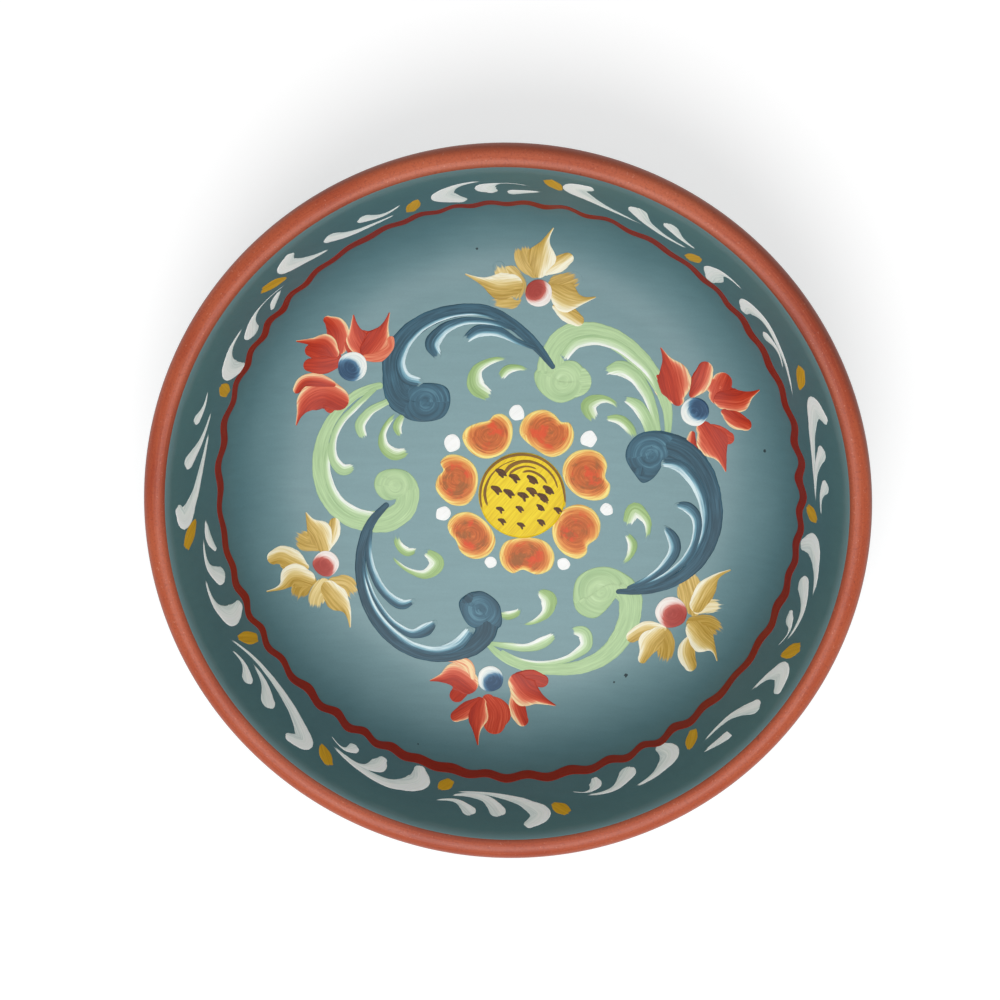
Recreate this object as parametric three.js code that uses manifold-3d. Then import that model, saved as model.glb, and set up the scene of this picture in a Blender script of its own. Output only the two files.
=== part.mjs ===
// A painted wooden bowl: one turned blank, a ground coat of paint inside and out, a red painted lip, a wavy
// line round the foot of the inside wall, and brushed scrolls, a flower, blossoms and comma strokes inside it.
// Millimetres and degrees, +Z up, with the origin in the plane of the foot, under the centre of the bowl.
import * as THREE from "three";
import Module from "manifold-3d";

const wasm = await Module();
wasm.setup();
const { CrossSection } = wasm;

// The turned blank
const RIM_RADIUS = 127; // widest point of the round lip
const INSIDE_DEPTH = 53; // from the top of the lip down to the flat floor
const WALL_ANGLE = 69; // slope of the wall above the horizontal
const WALL_THICKNESS = 7.5;
const LIP_RADIUS = 4.7; // the lip is a round bead, a little proud of the wall outside
const COVE_RADIUS = 33; // inside curve from floor to wall
const UNDER_CURVE_RADIUS = 46; // outside curve from underside to wall
const FLOOR_THICKNESS = 8;
const FOOT_HEIGHT = 4;
const FOOT_RADIUS = 64;
const FOOT_WIDTH = 8;
const FOOT_FILLET = 1.6;
const RECESS_DEPTH = 3; // hollow inside the foot ring

// The paint
const COAT = 0.3; // thickness of a coat on the wood
const INNER_COLOUR_LINE = 40; // degrees from the top of the lip to where the red ends inside
const STROKE = 0.3; // thickness of a brush stroke
const STROKE_CLEARANCE = 0.35; // between a stroke and the coat that carries it

// The wavy line, at the foot of the straight wall
const LINE_BELOW_WALL = 0.6; // from its middle to the foot of the wall, along the surface
const LINE_WIDTH = 3.9;
const LINE_WAVES = 48;
const LINE_SWING = 1.6; // from the middle of the line to the top of a middling wave

// The flower, scrolls and blossoms are drawn in millimetres for a bowl whose wall starts this far out, along
// the surface, and the border's commas, in degrees round and millimetres up, for a wall as high as this.
const DRAWN_WALL_START = 115.8;
const DRAWN_WALL = 30.9;
const BORDER_RADIUS = 113; // of the wall half way up, for the border's drawing
const STROKE_GAP = 0.35; // between strokes that meet
const DISC = [4.3, -2.7, 16.4]; // the middle of the flower: its centre and radius

// How finely round surfaces are divided
const TURN_STEPS = 60;
const COVE_STEPS = 6;
const LIP_STEP = 36; // degrees of lip to a facet
const UNDER_STEPS = 4;
const STEPS_PER_WAVE = 4;
const STATION = 7; // along a brush stroke
const BRUSH_SIDES = 8;
const KEPT_DETAIL = 0.3; // what a stroke's outline may be off by

const wall = THREE.MathUtils.degToRad(WALL_ANGLE);
const alongWall = new THREE.Vector2(Math.cos(wall), Math.sin(wall));
const outOfWall = new THREE.Vector2(Math.sin(wall), -Math.cos(wall));

// Heights, and the centres of the three curves that the straight wall touches
const underZ = FOOT_HEIGHT;
const floorZ = underZ + FLOOR_THICKNESS;
const topZ = floorZ + INSIDE_DEPTH;
const lipCentre = new THREE.Vector2(RIM_RADIUS - LIP_RADIUS, topZ - LIP_RADIUS);
const wallTop = lipCentre.clone().addScaledVector(outOfWall, -LIP_RADIUS);
const coveCentre = curveCentre(wallTop, floorZ, COVE_RADIUS);
const outerWallTop = wallTop.clone().addScaledVector(outOfWall, WALL_THICKNESS);
const underCentre = curveCentre(outerWallTop, underZ, UNDER_CURVE_RADIUS);

// The centre of a curve of that radius that touches the level z and the wall line through a point of it.
function curveCentre(onWall, z, radius) {
  const touchZ = z + radius * (1 - Math.cos(wall));
  const touchR = onWall.x - (onWall.y - touchZ) / Math.tan(wall);
  return new THREE.Vector2(touchR - radius * Math.sin(wall), z + radius);
}

// Points of an arc in the (radius, height) plane, from one angle to another, both ends included.
function arc(centre, radius, from, to, steps) {
  return Array.from({ length: steps + 1 }, (_, i) => {
    const a = THREE.MathUtils.degToRad(from + ((to - from) * i) / steps);
    return new THREE.Vector2(centre.x + radius * Math.cos(a), centre.y + radius * Math.sin(a));
  });
}

// Angles on the lip bead, measured from level and outwards
const lipInside = WALL_ANGLE + 90;
const colourLine = 90 + INNER_COLOUR_LINE;
const beadCover = THREE.MathUtils.radToDeg(Math.acos((WALL_THICKNESS - LIP_RADIUS) / LIP_RADIUS));
const lipOutside = WALL_ANGLE - 90 - beadCover;

function lipArc(from, to) {
  return arc(lipCentre, LIP_RADIUS, from, to, Math.ceil(Math.abs(to - from) / LIP_STEP));
}

// The surface of the wood, from the centre of the floor outwards, over the lip and back under the bowl
const floorLine = [new THREE.Vector2(0, floorZ)];
const coveLine = arc(coveCentre, COVE_RADIUS, -90, WALL_ANGLE - 90, COVE_STEPS);
const lipInsideLine = lipArc(lipInside, colourLine);
const lipRedLine = lipArc(colourLine, lipOutside);
const underLine = arc(underCentre, UNDER_CURVE_RADIUS, WALL_ANGLE - 90, -90, UNDER_STEPS);
const fillet = new THREE.Vector2(FOOT_RADIUS + FOOT_FILLET, underZ - FOOT_FILLET);
const footSideLine = arc(fillet, FOOT_FILLET, 90, 180, 1);
const footUnderLine = [
  new THREE.Vector2(FOOT_RADIUS, 0),
  new THREE.Vector2(FOOT_RADIUS - FOOT_WIDTH, 0),
  new THREE.Vector2(FOOT_RADIUS - FOOT_WIDTH, RECESS_DEPTH - FOOT_FILLET),
  new THREE.Vector2(FOOT_RADIUS - FOOT_WIDTH - FOOT_FILLET, RECESS_DEPTH),
  new THREE.Vector2(0, RECESS_DEPTH),
];
const paintedWood = [
  ...floorLine,
  ...coveLine,
  ...lipInsideLine,
  ...lipRedLine.slice(1),
  ...underLine,
  ...footSideLine,
];

// A solid of revolution about Z. Its outline is closed, or starts and ends on the axis, with the solid on
// its left as it runs.
function turned(name, outline, material) {
  const geometry = new THREE.LatheGeometry(outline, TURN_STEPS);
  geometry.rotateX(Math.PI / 2);
  return named(name, geometry, material);
}

function named(name, geometry, material) {
  const mesh = new THREE.Mesh(geometry, material);
  mesh.name = name;
  return mesh;
}

// The surface of the paint: the surface of the wood moved out by a coat, on its left as the line runs.
function paintedOver(line, thickness) {
  return line.map((p, i) => {
    const into = p.clone().sub(line[Math.max(i - 1, 0)]);
    const out = line[Math.min(i + 1, line.length - 1)].clone().sub(p);
    if (i === 0) into.copy(out);
    if (i === line.length - 1) out.copy(into);
    const along = into.normalize().add(out.normalize()).normalize();
    const reach = thickness / into.dot(along);
    return new THREE.Vector2(p.x - along.y * reach, p.y + along.x * reach);
  });
}

const paintSurface = paintedOver(paintedWood, COAT);
const redStart = floorLine.length + coveLine.length + lipInsideLine.length - 1;
const redEnd = redStart + lipRedLine.length - 1;

// The closed outline of the coat between two points of the wood's surface.
function coatOutline(from, to) {
  return [
    ...paintedWood.slice(from, to + 1),
    ...paintSurface.slice(from, to + 1).reverse(),
    paintedWood[from],
  ];
}

// The inside of the bowl, measured outwards from the centre along the surface of the wood
const coveStart = coveCentre.x;
const wallStart = coveStart + COVE_RADIUS * wall;
const wallLength = wallTop.distanceTo(coveCentre.clone().addScaledVector(outOfWall, COVE_RADIUS));

// A point of the inside: how far out along the surface, at what angle, and how far clear of the wood.
function inside(reach, angle, lift) {
  const p = new THREE.Vector2();
  if (reach < coveStart) {
    p.set(reach, floorZ + lift);
  } else {
    const turn = Math.min((reach - coveStart) / COVE_RADIUS, wall);
    const radius = COVE_RADIUS - lift;
    p.set(coveCentre.x + radius * Math.sin(turn), coveCentre.y - radius * Math.cos(turn));
    p.addScaledVector(alongWall, Math.max(reach - wallStart, 0));
  }
  return new THREE.Vector3(p.x * Math.cos(angle), p.x * Math.sin(angle), p.y);
}

// The middle of the wavy line, along the surface, at an angle round the bowl. Its waves are not quite even, as a
// brush makes them.
function lineMiddle(angle) {
  const late = 1.4 * Math.sin(3 * angle) + 0.8 * Math.sin(7 * angle + 1);
  const swing = LINE_SWING + 0.35 * Math.sin(5 * angle + 1) + 0.25 * Math.sin(11 * angle);
  const drift = 0.7 * Math.sin(2 * angle + 1.5);
  return wallStart - LINE_BELOW_WALL + drift + swing * Math.sin(LINE_WAVES * angle + late);
}

const lineAngles = Array.from({ length: LINE_WAVES * STEPS_PER_WAVE }, (_, i) => {
  return (i / (LINE_WAVES * STEPS_PER_WAVE)) * 2 * Math.PI;
});
const strokeLift = COAT + STROKE_CLEARANCE;

// The wavy line, a closed ring of paint.
function wavyLine(name, material) {
  const positions = [];
  const faces = [];
  const under = strokeLift;
  lineAngles.forEach((angle, i) => {
    const middle = lineMiddle(angle);
    for (const [side, lift] of [[-1, under], [1, under], [1, under + STROKE], [-1, under + STROKE]])
      positions.push(...inside(middle + (side * LINE_WIDTH) / 2, angle, lift));
    for (let k = 0; k < 4; k++) {
      const [a, b] = [4 * i + k, 4 * i + ((k + 1) % 4)];
      const [c, d] = [b + 4, a + 4].map((n) => n % (4 * lineAngles.length));
      faces.push(a, c, b, a, d, c);
    }
  });
  return named(name, indexed(positions, faces), material);
}

function indexed(positions, faces) {
  const geometry = new THREE.BufferGeometry();
  geometry.setAttribute("position", new THREE.Float32BufferAttribute(positions, 3));
  geometry.setIndex(faces);
  return geometry;
}

// The scrolls, clockwise from the upper left. Outlines are (x, y) and strokes (x, y, half width), seen from
// above with the viewer at the bottom.
const SCROLLS = {
  blue_scroll_1: {
    paint: "blue",
    head: [
      [-22.5, 33], [-24, 38], [-33, 39.5], [-42, 36], [-40, 27], [-33, 25], [-25, 27],
    ],
    strokes: [
      [
        [-34, 32, 7], [-41, 35, 6], [-43.5, 42, 4.4], [-43.5, 49, 4], [-39, 57, 3.4], [-31, 63, 2.9],
        [-20, 66.5, 2.4], [-9, 66.5, 2.1], [2, 60.5, 2.1], [10, 53, 1.8], [15.5, 46, 1],
      ],
      [
        [-27.5, 50.5, 1.8], [-29, 53.5, 2.8], [-25.5, 59, 2.3], [-18, 62.5, 1.5], [-9, 62.5, 1.1],
        [1, 60, 0.8],
      ],
      [
        [-16, 56.5, 1.6], [-12, 59, 2.3], [-5, 59, 2], [2, 55.5, 1.1], [8.5, 53, 0.8],
      ],
    ],
  },
  green_scroll_1: {
    paint: "sage",
    head: [
      [9, 44], [10, 38], [15, 33.5], [19, 32.5], [25, 35], [30, 40], [28, 44], [24, 48], [17, 47.5],
    ],
    strokes: [
      [
        [24, 40.5, 6], [17, 41, 7], [15.5, 50, 4.5], [21, 57, 4.6], [29, 58.5, 4.2], [38, 56.3, 3.8],
        [46, 50.5, 3.6], [52, 44, 3], [56.5, 36, 2.3], [58.5, 28, 1.7], [58.5, 22, 1.2],
      ],
      [
        [36, 44.5, 1.5], [40, 45.5, 2.9], [45, 43.5, 2.8], [49.5, 38, 2.3], [53, 30, 1.6],
        [55, 22.5, 0.9],
      ],
      [
        [42.5, 34, 1], [46.5, 32, 2.2], [50.5, 26.5, 2.3], [52.5, 21.5, 2.2],
      ],
    ],
  },
  blue_scroll_2: {
    paint: "blue",
    head: [
      [43, 12], [44, 17], [48, 21], [55, 22.3], [62, 20], [60, 13], [57, 11], [56, 8], [53, 4],
      [49.5, 2.5], [47, 5],
    ],
    strokes: [
      [
        [50, 11, 6], [52, 16, 6], [58, 16.5, 5.3], [64.5, 14, 5], [71, 7, 4.6], [75, -3, 4],
        [76, -12, 3.6], [74, -21, 3.2], [69.5, -29, 2.6], [62, -35, 2.2], [52, -38.5, 1.8],
        [41, -39.5, 1],
      ],
      [
        [62.5, -6, 1], [66, -6.5, 2], [69.5, -10, 2], [70, -17, 1.6], [66.5, -26, 1.5], [59, -33, 1.3],
        [48, -38, 0.9],
      ],
      [
        [58, -14.5, 0.8], [60.5, -17.5, 2], [62, -22, 2.3], [59, -28.5, 2], [53, -34, 1.4],
        [45, -38, 0.9],
      ],
    ],
  },
  green_scroll_2: {
    paint: "sage",
    head: [
      [24, -44], [25, -35], [30, -31], [37, -30], [44, -33], [47, -36], [40, -42], [37, -46],
      [32, -50], [26, -48],
    ],
    strokes: [
      [
        [32, -40, 7], [39, -36.5, 5], [44.5, -40, 4.8], [45.5, -48, 4.3], [43, -56, 4], [37, -64, 3.4],
        [28, -69, 2.8], [16, -70.5, 2.2], [4, -69, 1.8], [-4, -65, 1.5], [-8, -61.5, 1],
      ],
      [
        [24, -55, 1.4], [28, -56, 2.6], [29, -60, 2.4], [24, -65, 1.6], [14, -68, 1], [4, -67, 0.8],
        [-3, -63.5, 0.5],
      ],
      [
        [16.5, -57, 1.2], [13, -59.5, 2.2], [6, -62, 1.6], [0, -61, 1.4], [-7, -60.5, 0.8],
      ],
    ],
  },
  blue_scroll_3: {
    paint: "blue",
    head: [
      [-19.5, -44], [-16, -41], [-11, -40], [-5, -44], [-3.5, -48], [-4, -54], [-15, -54], [-19, -48],
    ],
    strokes: [
      [
        [-13, -46, 6], [-9.5, -50, 5.3], [-9.5, -56, 4.2], [-14, -61.5, 3.6], [-21, -64.7, 2.8],
        [-30, -65.5, 2.5], [-40, -62.5, 2.5], [-48.5, -55.5, 2.5], [-54.5, -45.5, 2.3],
        [-57, -35, 2.1], [-56.3, -21, 1.5],
      ],
      [
        [-29, -52.5, 1], [-32, -55, 2.5], [-37, -57, 1.9], [-44, -53.5, 1.3], [-50, -46.5, 1],
        [-54.5, -36, 0.7], [-56, -28, 0.5],
      ],
      [
        [-37, -44, 0.8], [-41, -45.5, 2], [-47, -42, 1.8], [-52, -34, 1.6], [-54, -25, 1.3],
        [-53, -17, 0.7],
      ],
    ],
  },
  green_scroll_3: {
    paint: "sage",
    head: [
      [-51.5, 1], [-50, 5], [-45, 7], [-39, 6], [-35, 1], [-36, -4], [-42, -4.5], [-47, -5], [-50, -3],
    ],
    strokes: [
      [
        [-44, 2.5, 4.5], [-39.5, 0, 4.5], [-39.5, -7, 4.3], [-46, -12.7, 4.4], [-54, -13.2, 4.2],
        [-62, -10.7, 4], [-68.5, -4, 3.8], [-71.5, 5, 3.3], [-71.5, 14, 2.7], [-69, 22, 2.2],
        [-64, 29.5, 1.8], [-57, 35.5, 1.6], [-49, 38.5, 1.3],
      ],
      [
        [-59.5, 7.5, 1.4], [-63, 6.5, 2.3], [-66.2, 9.5, 2], [-67, 16, 1.4], [-64, 24, 1.3],
        [-58, 30.5, 1.2], [-51, 37, 0.9],
      ],
    ],
  },
};

// The petals round the middle of the flower, each an outline with a notch on the far side.
const PETALS = [
  [
    [-17.5, 20], [-16, 23], [-10, 26.5], [-5, 28.5], [-1.5, 26], [0, 20], [-2, 15], [-8, 11.5],
    [-13, 13], [-17.3, 17],
  ],
  [
    [3.5, 21], [6, 27], [11, 30], [15, 28.5], [18, 25.8], [21.5, 25], [23, 21], [20, 16], [15, 12.5],
    [8, 14], [4, 18],
  ],
  [
    [19.5, 9], [21, 13], [26, 15.5], [31, 15], [35, 11.5], [35.3, 6], [37, 2], [34, -2], [29, -3.5],
    [22, 1], [19.5, 5],
  ],
  [
    [17, -12], [20, -8], [26, -6], [31, -8], [33.5, -13], [32, -17.5], [28.7, -20], [28, -24],
    [25, -26.5], [20, -25], [17, -20], [15.5, -15.5],
  ],
  [
    [8, -19], [14, -20], [16.5, -26], [14, -31], [9, -33.5], [4, -31.8], [0, -32.5], [-4.5, -27],
    [-4, -22], [1, -19.5],
  ],
  [
    [-23.5, -16], [-21, -11], [-15, -9.5], [-9, -13], [-6, -19], [-7, -25], [-13, -27.5], [-18, -25],
    [-20.3, -20],
  ],
  [
    [-26, 10], [-22, 12.5], [-16, 11], [-12.5, 5], [-13, -3], [-19, -7], [-26, -4], [-28, 1],
    [-26.7, 6],
  ],
];

// The sprays outside the scrolls: a round bud as (x, y, radius) and three blossoms of strokes.
const SPRAYS = {
  red_spray_1: {
    paint: "red",
    bud: [-59, 45.5, 5.6],
    blossoms: [
      [
        [[-56.5, 54, 5.4], [-51, 53.5, 5.4]],
        [[-54.5, 52, 3.7], [-57, 56, 4.6], [-58, 60, 3.2], [-58.3, 65, 0.3]],
        [[-52, 52, 4.3], [-49, 56, 4.9], [-47, 60, 2.9], [-45, 65.5, 0.3]],
        [[-54, 49, 1.2], [-48, 49.7, 2.2], [-44, 53.5, 2.2], [-44.5, 56, 1]],
      ],
      [
        [[-68, 64, 1.7], [-65.5, 61.5, 3.8], [-63.7, 57, 4.1], [-64, 51.5, 1.5]],
        [[-66, 49, 2.9], [-70, 50.5, 3.4], [-76, 53, 0.7]],
        [[-66, 51, 2.2], [-69, 54.7, 3.7], [-74, 55.6, 2.7], [-80, 56.7, 0.3]],
        [[-65.5, 47, 2.2], [-69.5, 46.3, 3.5], [-76.5, 46.5, 1]],
      ],
      [
        [[-64.5, 33, 4.1], [-67, 31, 3.2]],
        [[-65, 33.5, 4.6], [-70, 35.2, 5.6], [-76, 32.5, 4.6], [-79, 28, 2.2], [-80.5, 23.7, 0.3]],
        [[-66.5, 39, 1.2], [-72, 40.5, 2.7], [-78, 40, 2.2], [-80.5, 36.5, 0.6]],
      ],
    ],
  },
  red_spray_2: {
    paint: "red",
    bud: [68.3, 29.5, 5.3],
    blossoms: [
      [
        [[60.5, 34.5, 2.2], [56.5, 38, 3.4], [54.5, 42, 1.2]],
        [[62, 34, 2.4], [61, 38.5, 6.3], [59.5, 44.5, 5.4], [57.5, 49, 2.7], [55.5, 53, 0.3]],
        [[67.5, 36, 1.5], [70, 40, 3.7], [72, 45.5, 3]],
      ],
      [
        [[77, 36, 3.7], [78.3, 40.5, 5.2], [79.5, 43.5, 1.2]],
        [[79, 34.3, 3.7], [85, 34.7, 4.6], [89.5, 37.3, 2.4], [93.5, 40, 0.3]],
        [[79.5, 29.5, 1.5], [83, 27.3, 3.4], [87.5, 25.5, 2.4]],
      ],
      [
        [[73, 22, 3], [78, 20.8, 3.4], [82.5, 19.3, 0.7]],
        [[72, 23, 3], [75.5, 17.5, 6.3], [78.5, 12.5, 3.7], [80.3, 7.3, 0.3]],
        [[67.5, 21, 1.2], [67.5, 15, 2.7], [70, 11, 2.9]],
      ],
    ],
  },
  red_spray_3: {
    paint: "red",
    bud: [-7.6, -74.6, 5],
    blossoms: [
      [
        [[-17.5, -77.5, 3.2], [-20.5, -81, 2.9]],
        [[-17, -76, 4.9], [-21.5, -73.5, 5.4], [-26.5, -74.5, 2.9], [-30.7, -75.5, 0.3]],
        [[-14.3, -74, 1], [-16.3, -69.3, 2.1], [-20.5, -67, 1.8], [-25, -66.3, 0.6]],
      ],
      [
        [[-12, -83.5, 1.8], [-17, -87, 3.2], [-20.8, -89.3, 2.2]],
        [[-8.5, -83, 2.4], [-5.5, -88, 5.9], [-6, -92.5, 3.7]],
        [[-11, -84, 1.8], [-12.3, -89.5, 4], [-12.8, -95, 2.4], [-12.3, -100.5, 0.3]],
      ],
      [
        [[1.5, -81, 1.5], [2.7, -86, 3.3], [4.7, -90.5, 2.4]],
        [[4, -75, 3.7], [9, -74.3, 3.7], [13, -75.3, 1.6]],
        [[3, -76, 3.9], [6, -79.5, 6.1], [11, -82, 3.9], [17.3, -84.5, 0.3]],
      ],
    ],
  },
  ochre_spray_1: {
    paint: "ochre",
    bud: [10.3, 73, 5],
    blossoms: [
      [
        [[0, 71, 3.9], [-5, 70.5, 2.9]],
        [[0, 80, 3.4], [3, 76, 2.9], [1.5, 71, 2.2]],
        [[-2.5, 78, 3], [-4.5, 83.5, 1.5]],
        [[0, 76, 4.4], [-4, 75.7, 5.2], [-10, 77.3, 2.8], [-16.5, 80, 0.3]],
      ],
      [
        [[8.5, 81, 2.4], [5.5, 85, 3.9], [4, 90.5, 2]],
        [[13, 81, 1.5], [17.5, 84, 3.2], [21, 86.5, 2.2]],
        [[10.5, 81.5, 2.8], [11.5, 87, 5.6], [13, 93, 2.7], [16, 99.5, 0.3]],
      ],
      [
        [[18, 76, 4.4], [23, 78, 3.4]],
        [[16.5, 68, 1.2], [21, 65.5, 3.2], [25, 63, 2]],
        [[16.5, 73.5, 3.2], [21, 71.3, 5.9], [25.5, 70.5, 3.3], [31, 71.7, 0.3]],
      ],
    ],
  },
  ochre_spray_2: {
    paint: "ochre",
    bud: [61, -47.3, 6],
    blossoms: [
      [
        [[69.5, -45.5, 3], [68.5, -39.5, 5.6], [67, -34, 2.7]],
        [[71, -46, 1.8], [75, -44.5, 2.7], [79, -44, 2.4]],
        [[71, -44, 3.2], [74.5, -37.5, 3.7], [78, -33, 2], [83, -30.3, 0.3]],
      ],
      [
        [[70, -51.5, 3.2], [76, -51.5, 3.7], [80.5, -53.5, 1.5]],
        [[68.3, -57, 1.2], [67.3, -62, 3.5], [69.5, -67.5, 2.2]],
        [[70.5, -54, 3.9], [74, -57.5, 5.4], [78, -60.5, 2.2], [80.5, -65, 0.3]],
      ],
      [
        [[58, -56.5, 3.7], [59.3, -61, 3.7], [58.7, -66, 1.8]],
        [[57.5, -54, 1.8], [52, -54, 3.2], [46.5, -57, 2.4]],
        [[56, -56, 3], [53.3, -59, 4.6], [51.5, -63.5, 2.4], [50, -66.7, 0.6]],
      ],
    ],
  },
  ochre_spray_3: {
    paint: "ochre",
    bud: [-70.3, -29.9, 5],
    blossoms: [
      [
        [[-74, -22, 3.2], [-78, -21, 4], [-82, -18.7, 1]],
        [[-69, -23, 1.2], [-67.5, -18, 2.8], [-66.7, -14, 2]],
        [[-71, -22.5, 3.2], [-73, -17.5, 5.1], [-76, -13.5, 2.8], [-77.5, -10.3, 0.3]],
      ],
      [
        [[-77, -37, 3], [-80.5, -40, 3.7], [-82, -43.5, 1.2]],
        [[-78, -31, 1.2], [-83, -28.5, 4.4], [-88, -26.3, 3.7], [-91.5, -27, 1.7]],
        [[-78, -35.5, 3.4], [-83.5, -34.5, 4.9], [-87.5, -38, 2.4], [-94, -39.7, 0.3]],
      ],
      [
        [[-67, -38, 3.2], [-63, -38.7, 4.4], [-60, -42, 1.6]],
        [[-71.5, -38.5, 3], [-74, -42.5, 3.7], [-75, -47, 1.5]],
        [[-69, -40, 3.7], [-66, -44, 4.6], [-62.7, -48, 2.8], [-61.5, -54.5, 0.3]],
      ],
    ],
  },
};

// The large commas of the border, each its head, its outer edge and its tip, in degrees round and mm up.
const COMMAS = {
  comma_1: { width: 8.7, edge: [[48.3, 2.5], [50.8, 9], [48.5, 15], [43, 16.5]] },
  comma_2: { width: 9, edge: [[98.7, 6.5], [103.6, 13.4], [100, 21], [93.6, 22.8]] },
  comma_3: { width: 8.7, edge: [[153.7, 2.7], [156.4, 10.5], [152, 16.5], [145, 16]] },
  comma_4: { width: 8.5, edge: [[202.3, 3], [205, 10.5], [200.7, 16.7], [193.5, 16.2]] },
  comma_5: { width: 8.7, edge: [[252.3, 4], [254.8, 11], [249.5, 18.3], [240, 17], [234.5, 13]] },
  comma_6: { width: 8.7, edge: [[301.7, 5.2], [304.9, 12], [300, 18.3], [294.3, 19]] },
  comma_7: { width: 8.7, edge: [[352, 4.2], [354.8, 11.5], [349.4, 18], [344.1, 19.2]] },
  hook_1: { width: 8.3, edge: [[17, 24.5], [21, 19.5], [16, 11.5], [9, 8.8], [0.5, 10]] },
  hook_2: { width: 8.3, edge: [[76, 24.7], [80, 20.9], [74, 11.7], [64.8, 9]] },
  hook_3: { width: 7.8, edge: [[130, 25.7], [133.5, 21.9], [129, 12.5], [124.2, 9.4]] },
  hook_4: { width: 8.3, edge: [[180.5, 25.5], [184, 22.5], [180, 14.5], [173, 10.2], [166, 10]] },
  hook_5: { width: 7.6, edge: [[227.3, 24.3], [231.6, 21.3], [227.5, 12.5], [220.5, 7.7], [213, 8.7], [205.8, 16.8]] },
  hook_6: { width: 7.8, edge: [[274.5, 26], [278.4, 21.6], [274.5, 13], [268.5, 9.3], [259.4, 10.9]] },
  hook_7: { width: 8.3, edge: [[327, 26], [331.5, 22.8], [328, 15.7], [322.6, 13.8]] },
};

// The area that a brush covers on a smooth way through (x, y, half width) points.
function strokeArea(points) {
  const way = new THREE.CatmullRomCurve3(points.map((p) => new THREE.Vector3(...p)));
  const stations = way.getSpacedPoints(Math.ceil(way.getLength() / STATION));
  const dabs = stations.map((p) => CrossSection.circle(Math.max(p.z, 0.5), BRUSH_SIDES).translate([p.x, p.y]));
  return CrossSection.union(dabs.slice(1).map((dab, i) => CrossSection.hull([dabs[i], dab])));
}

// The area inside a smooth closed line through (x, y) points.
function patchArea(points) {
  const line = new THREE.CatmullRomCurve3(points.map(([x, y]) => new THREE.Vector3(x, y, 0)), true);
  return new CrossSection([line.getPoints(2 * points.length).slice(1).map((p) => [p.x, p.y])], "NonZero");
}

function discArea([x, y, radius]) {
  return CrossSection.circle(radius, 24).translate([x, y]);
}

// A comma of the border, from its head along its outer edge to its tip, broadest just after the head.
function commaArea({ width, edge }) {
  const points = edge.map(([degrees, up]) => new THREE.Vector2(-THREE.MathUtils.degToRad(degrees) * BORDER_RADIUS, up));
  const [first, second] = [1, 2].map((i) => points[i].clone().sub(points[i - 1]));
  const turn = Math.sign(first.cross(second));
  const last = points.length - 1;
  return strokeArea(
    points.map((p, i) => {
      if (i === 0) return [p.x, p.y, 0.28 * width];
      const half = (width / 2) * (0.06 + 0.94 * (1 - (i - 1) / (last - 1)) ** 1.25);
      if (i === last) return [p.x, p.y, half];
      const along = points[i + 1].clone().sub(points[i - 1]).normalize();
      return [p.x - turn * along.y * half, p.y + turn * along.x * half, half];
    }),
  );
}

// Where points of the two drawings lie on the inside of the bowl, so far above the underside of a stroke.
function inTheMiddle([x, y, above]) {
  const reach = Math.hypot(x, y) * (wallStart / DRAWN_WALL_START);
  return inside(reach, Math.atan2(y, x), strokeLift + above);
}

function inTheBorder([x, y, above]) {
  return inside(wallStart + y * (wallLength / DRAWN_WALL), -x / BORDER_RADIUS, strokeLift + above);
}

// One body of paint over an area of a drawing, in its place in the bowl.
function laid(name, area, place, material) {
  const { vertProperties, triVerts } = area.extrude(STROKE).getMesh();
  const positions = [];
  for (let i = 0; i < vertProperties.length; i += 3)
    positions.push(...place(vertProperties.slice(i, i + 3)));
  return named(name, indexed(positions, [...triVerts]), material);
}

// The shapes of a drawing as bodies of paint. Each leaves room for the ones before it, which lie over it on the
// bowl, and is the largest piece of what is left.
function painting(shapes, place, covered) {
  let taken = covered;
  return shapes.map(({ name, area, paint }) => {
    const left = area.subtract(taken.offset(STROKE_GAP, "Miter")).simplify(KEPT_DETAIL).decompose();
    const kept = left.sort((p, q) => q.area() - p.area())[0];
    taken = taken.add(kept);
    return laid(name, kept, place, finish[paint]);
  });
}

// The middle, from the paint that lies on top to the paint below it
function middleShapes() {
  const shapes = [{ name: "flower_middle", area: discArea(DISC), paint: "yellow" }];
  PETALS.forEach((outline, i) => {
    shapes.push({ name: `petal_${i + 1}`, area: patchArea(outline), paint: "petal" });
  });
  for (const paint of ["blue", "sage"])
    for (const [name, scroll] of Object.entries(SCROLLS).filter(([, scroll]) => scroll.paint === paint)) {
      const area = CrossSection.union([patchArea(scroll.head), ...scroll.strokes.map(strokeArea)]);
      shapes.push({ name, area, paint });
    }
  for (const [name, { paint, bud, blossoms }] of Object.entries(SPRAYS)) {
    shapes.push({ name: `${name}_bud`, area: discArea(bud), paint: `${paint}_bud` });
    blossoms.forEach((strokes, i) => {
      const area = CrossSection.union(strokes.map(strokeArea));
      shapes.push({ name: `${name}${"abc"[i]}`, area, paint });
    });
  }
  return shapes;
}

// What the wavy line and the floor below it take of the border's drawing
function lineArea() {
  const edge = [...lineAngles, 2 * Math.PI].map((angle) => {
    const up = (lineMiddle(angle) + LINE_WIDTH / 2 - wallStart) * (DRAWN_WALL / wallLength);
    return [-angle * BORDER_RADIUS, up];
  });
  const below = -DRAWN_WALL;
  return new CrossSection([[[-2 * Math.PI * BORDER_RADIUS, below], [0, below], ...edge]], "NonZero");
}

function borderShapes() {
  return Object.entries(COMMAS).map(([name, stroke]) => ({ name, area: commaArea(stroke), paint: "white" }));
}

function paintOf(color, roughness) {
  return new THREE.MeshStandardMaterial({ color, roughness, metalness: 0 });
}

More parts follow.
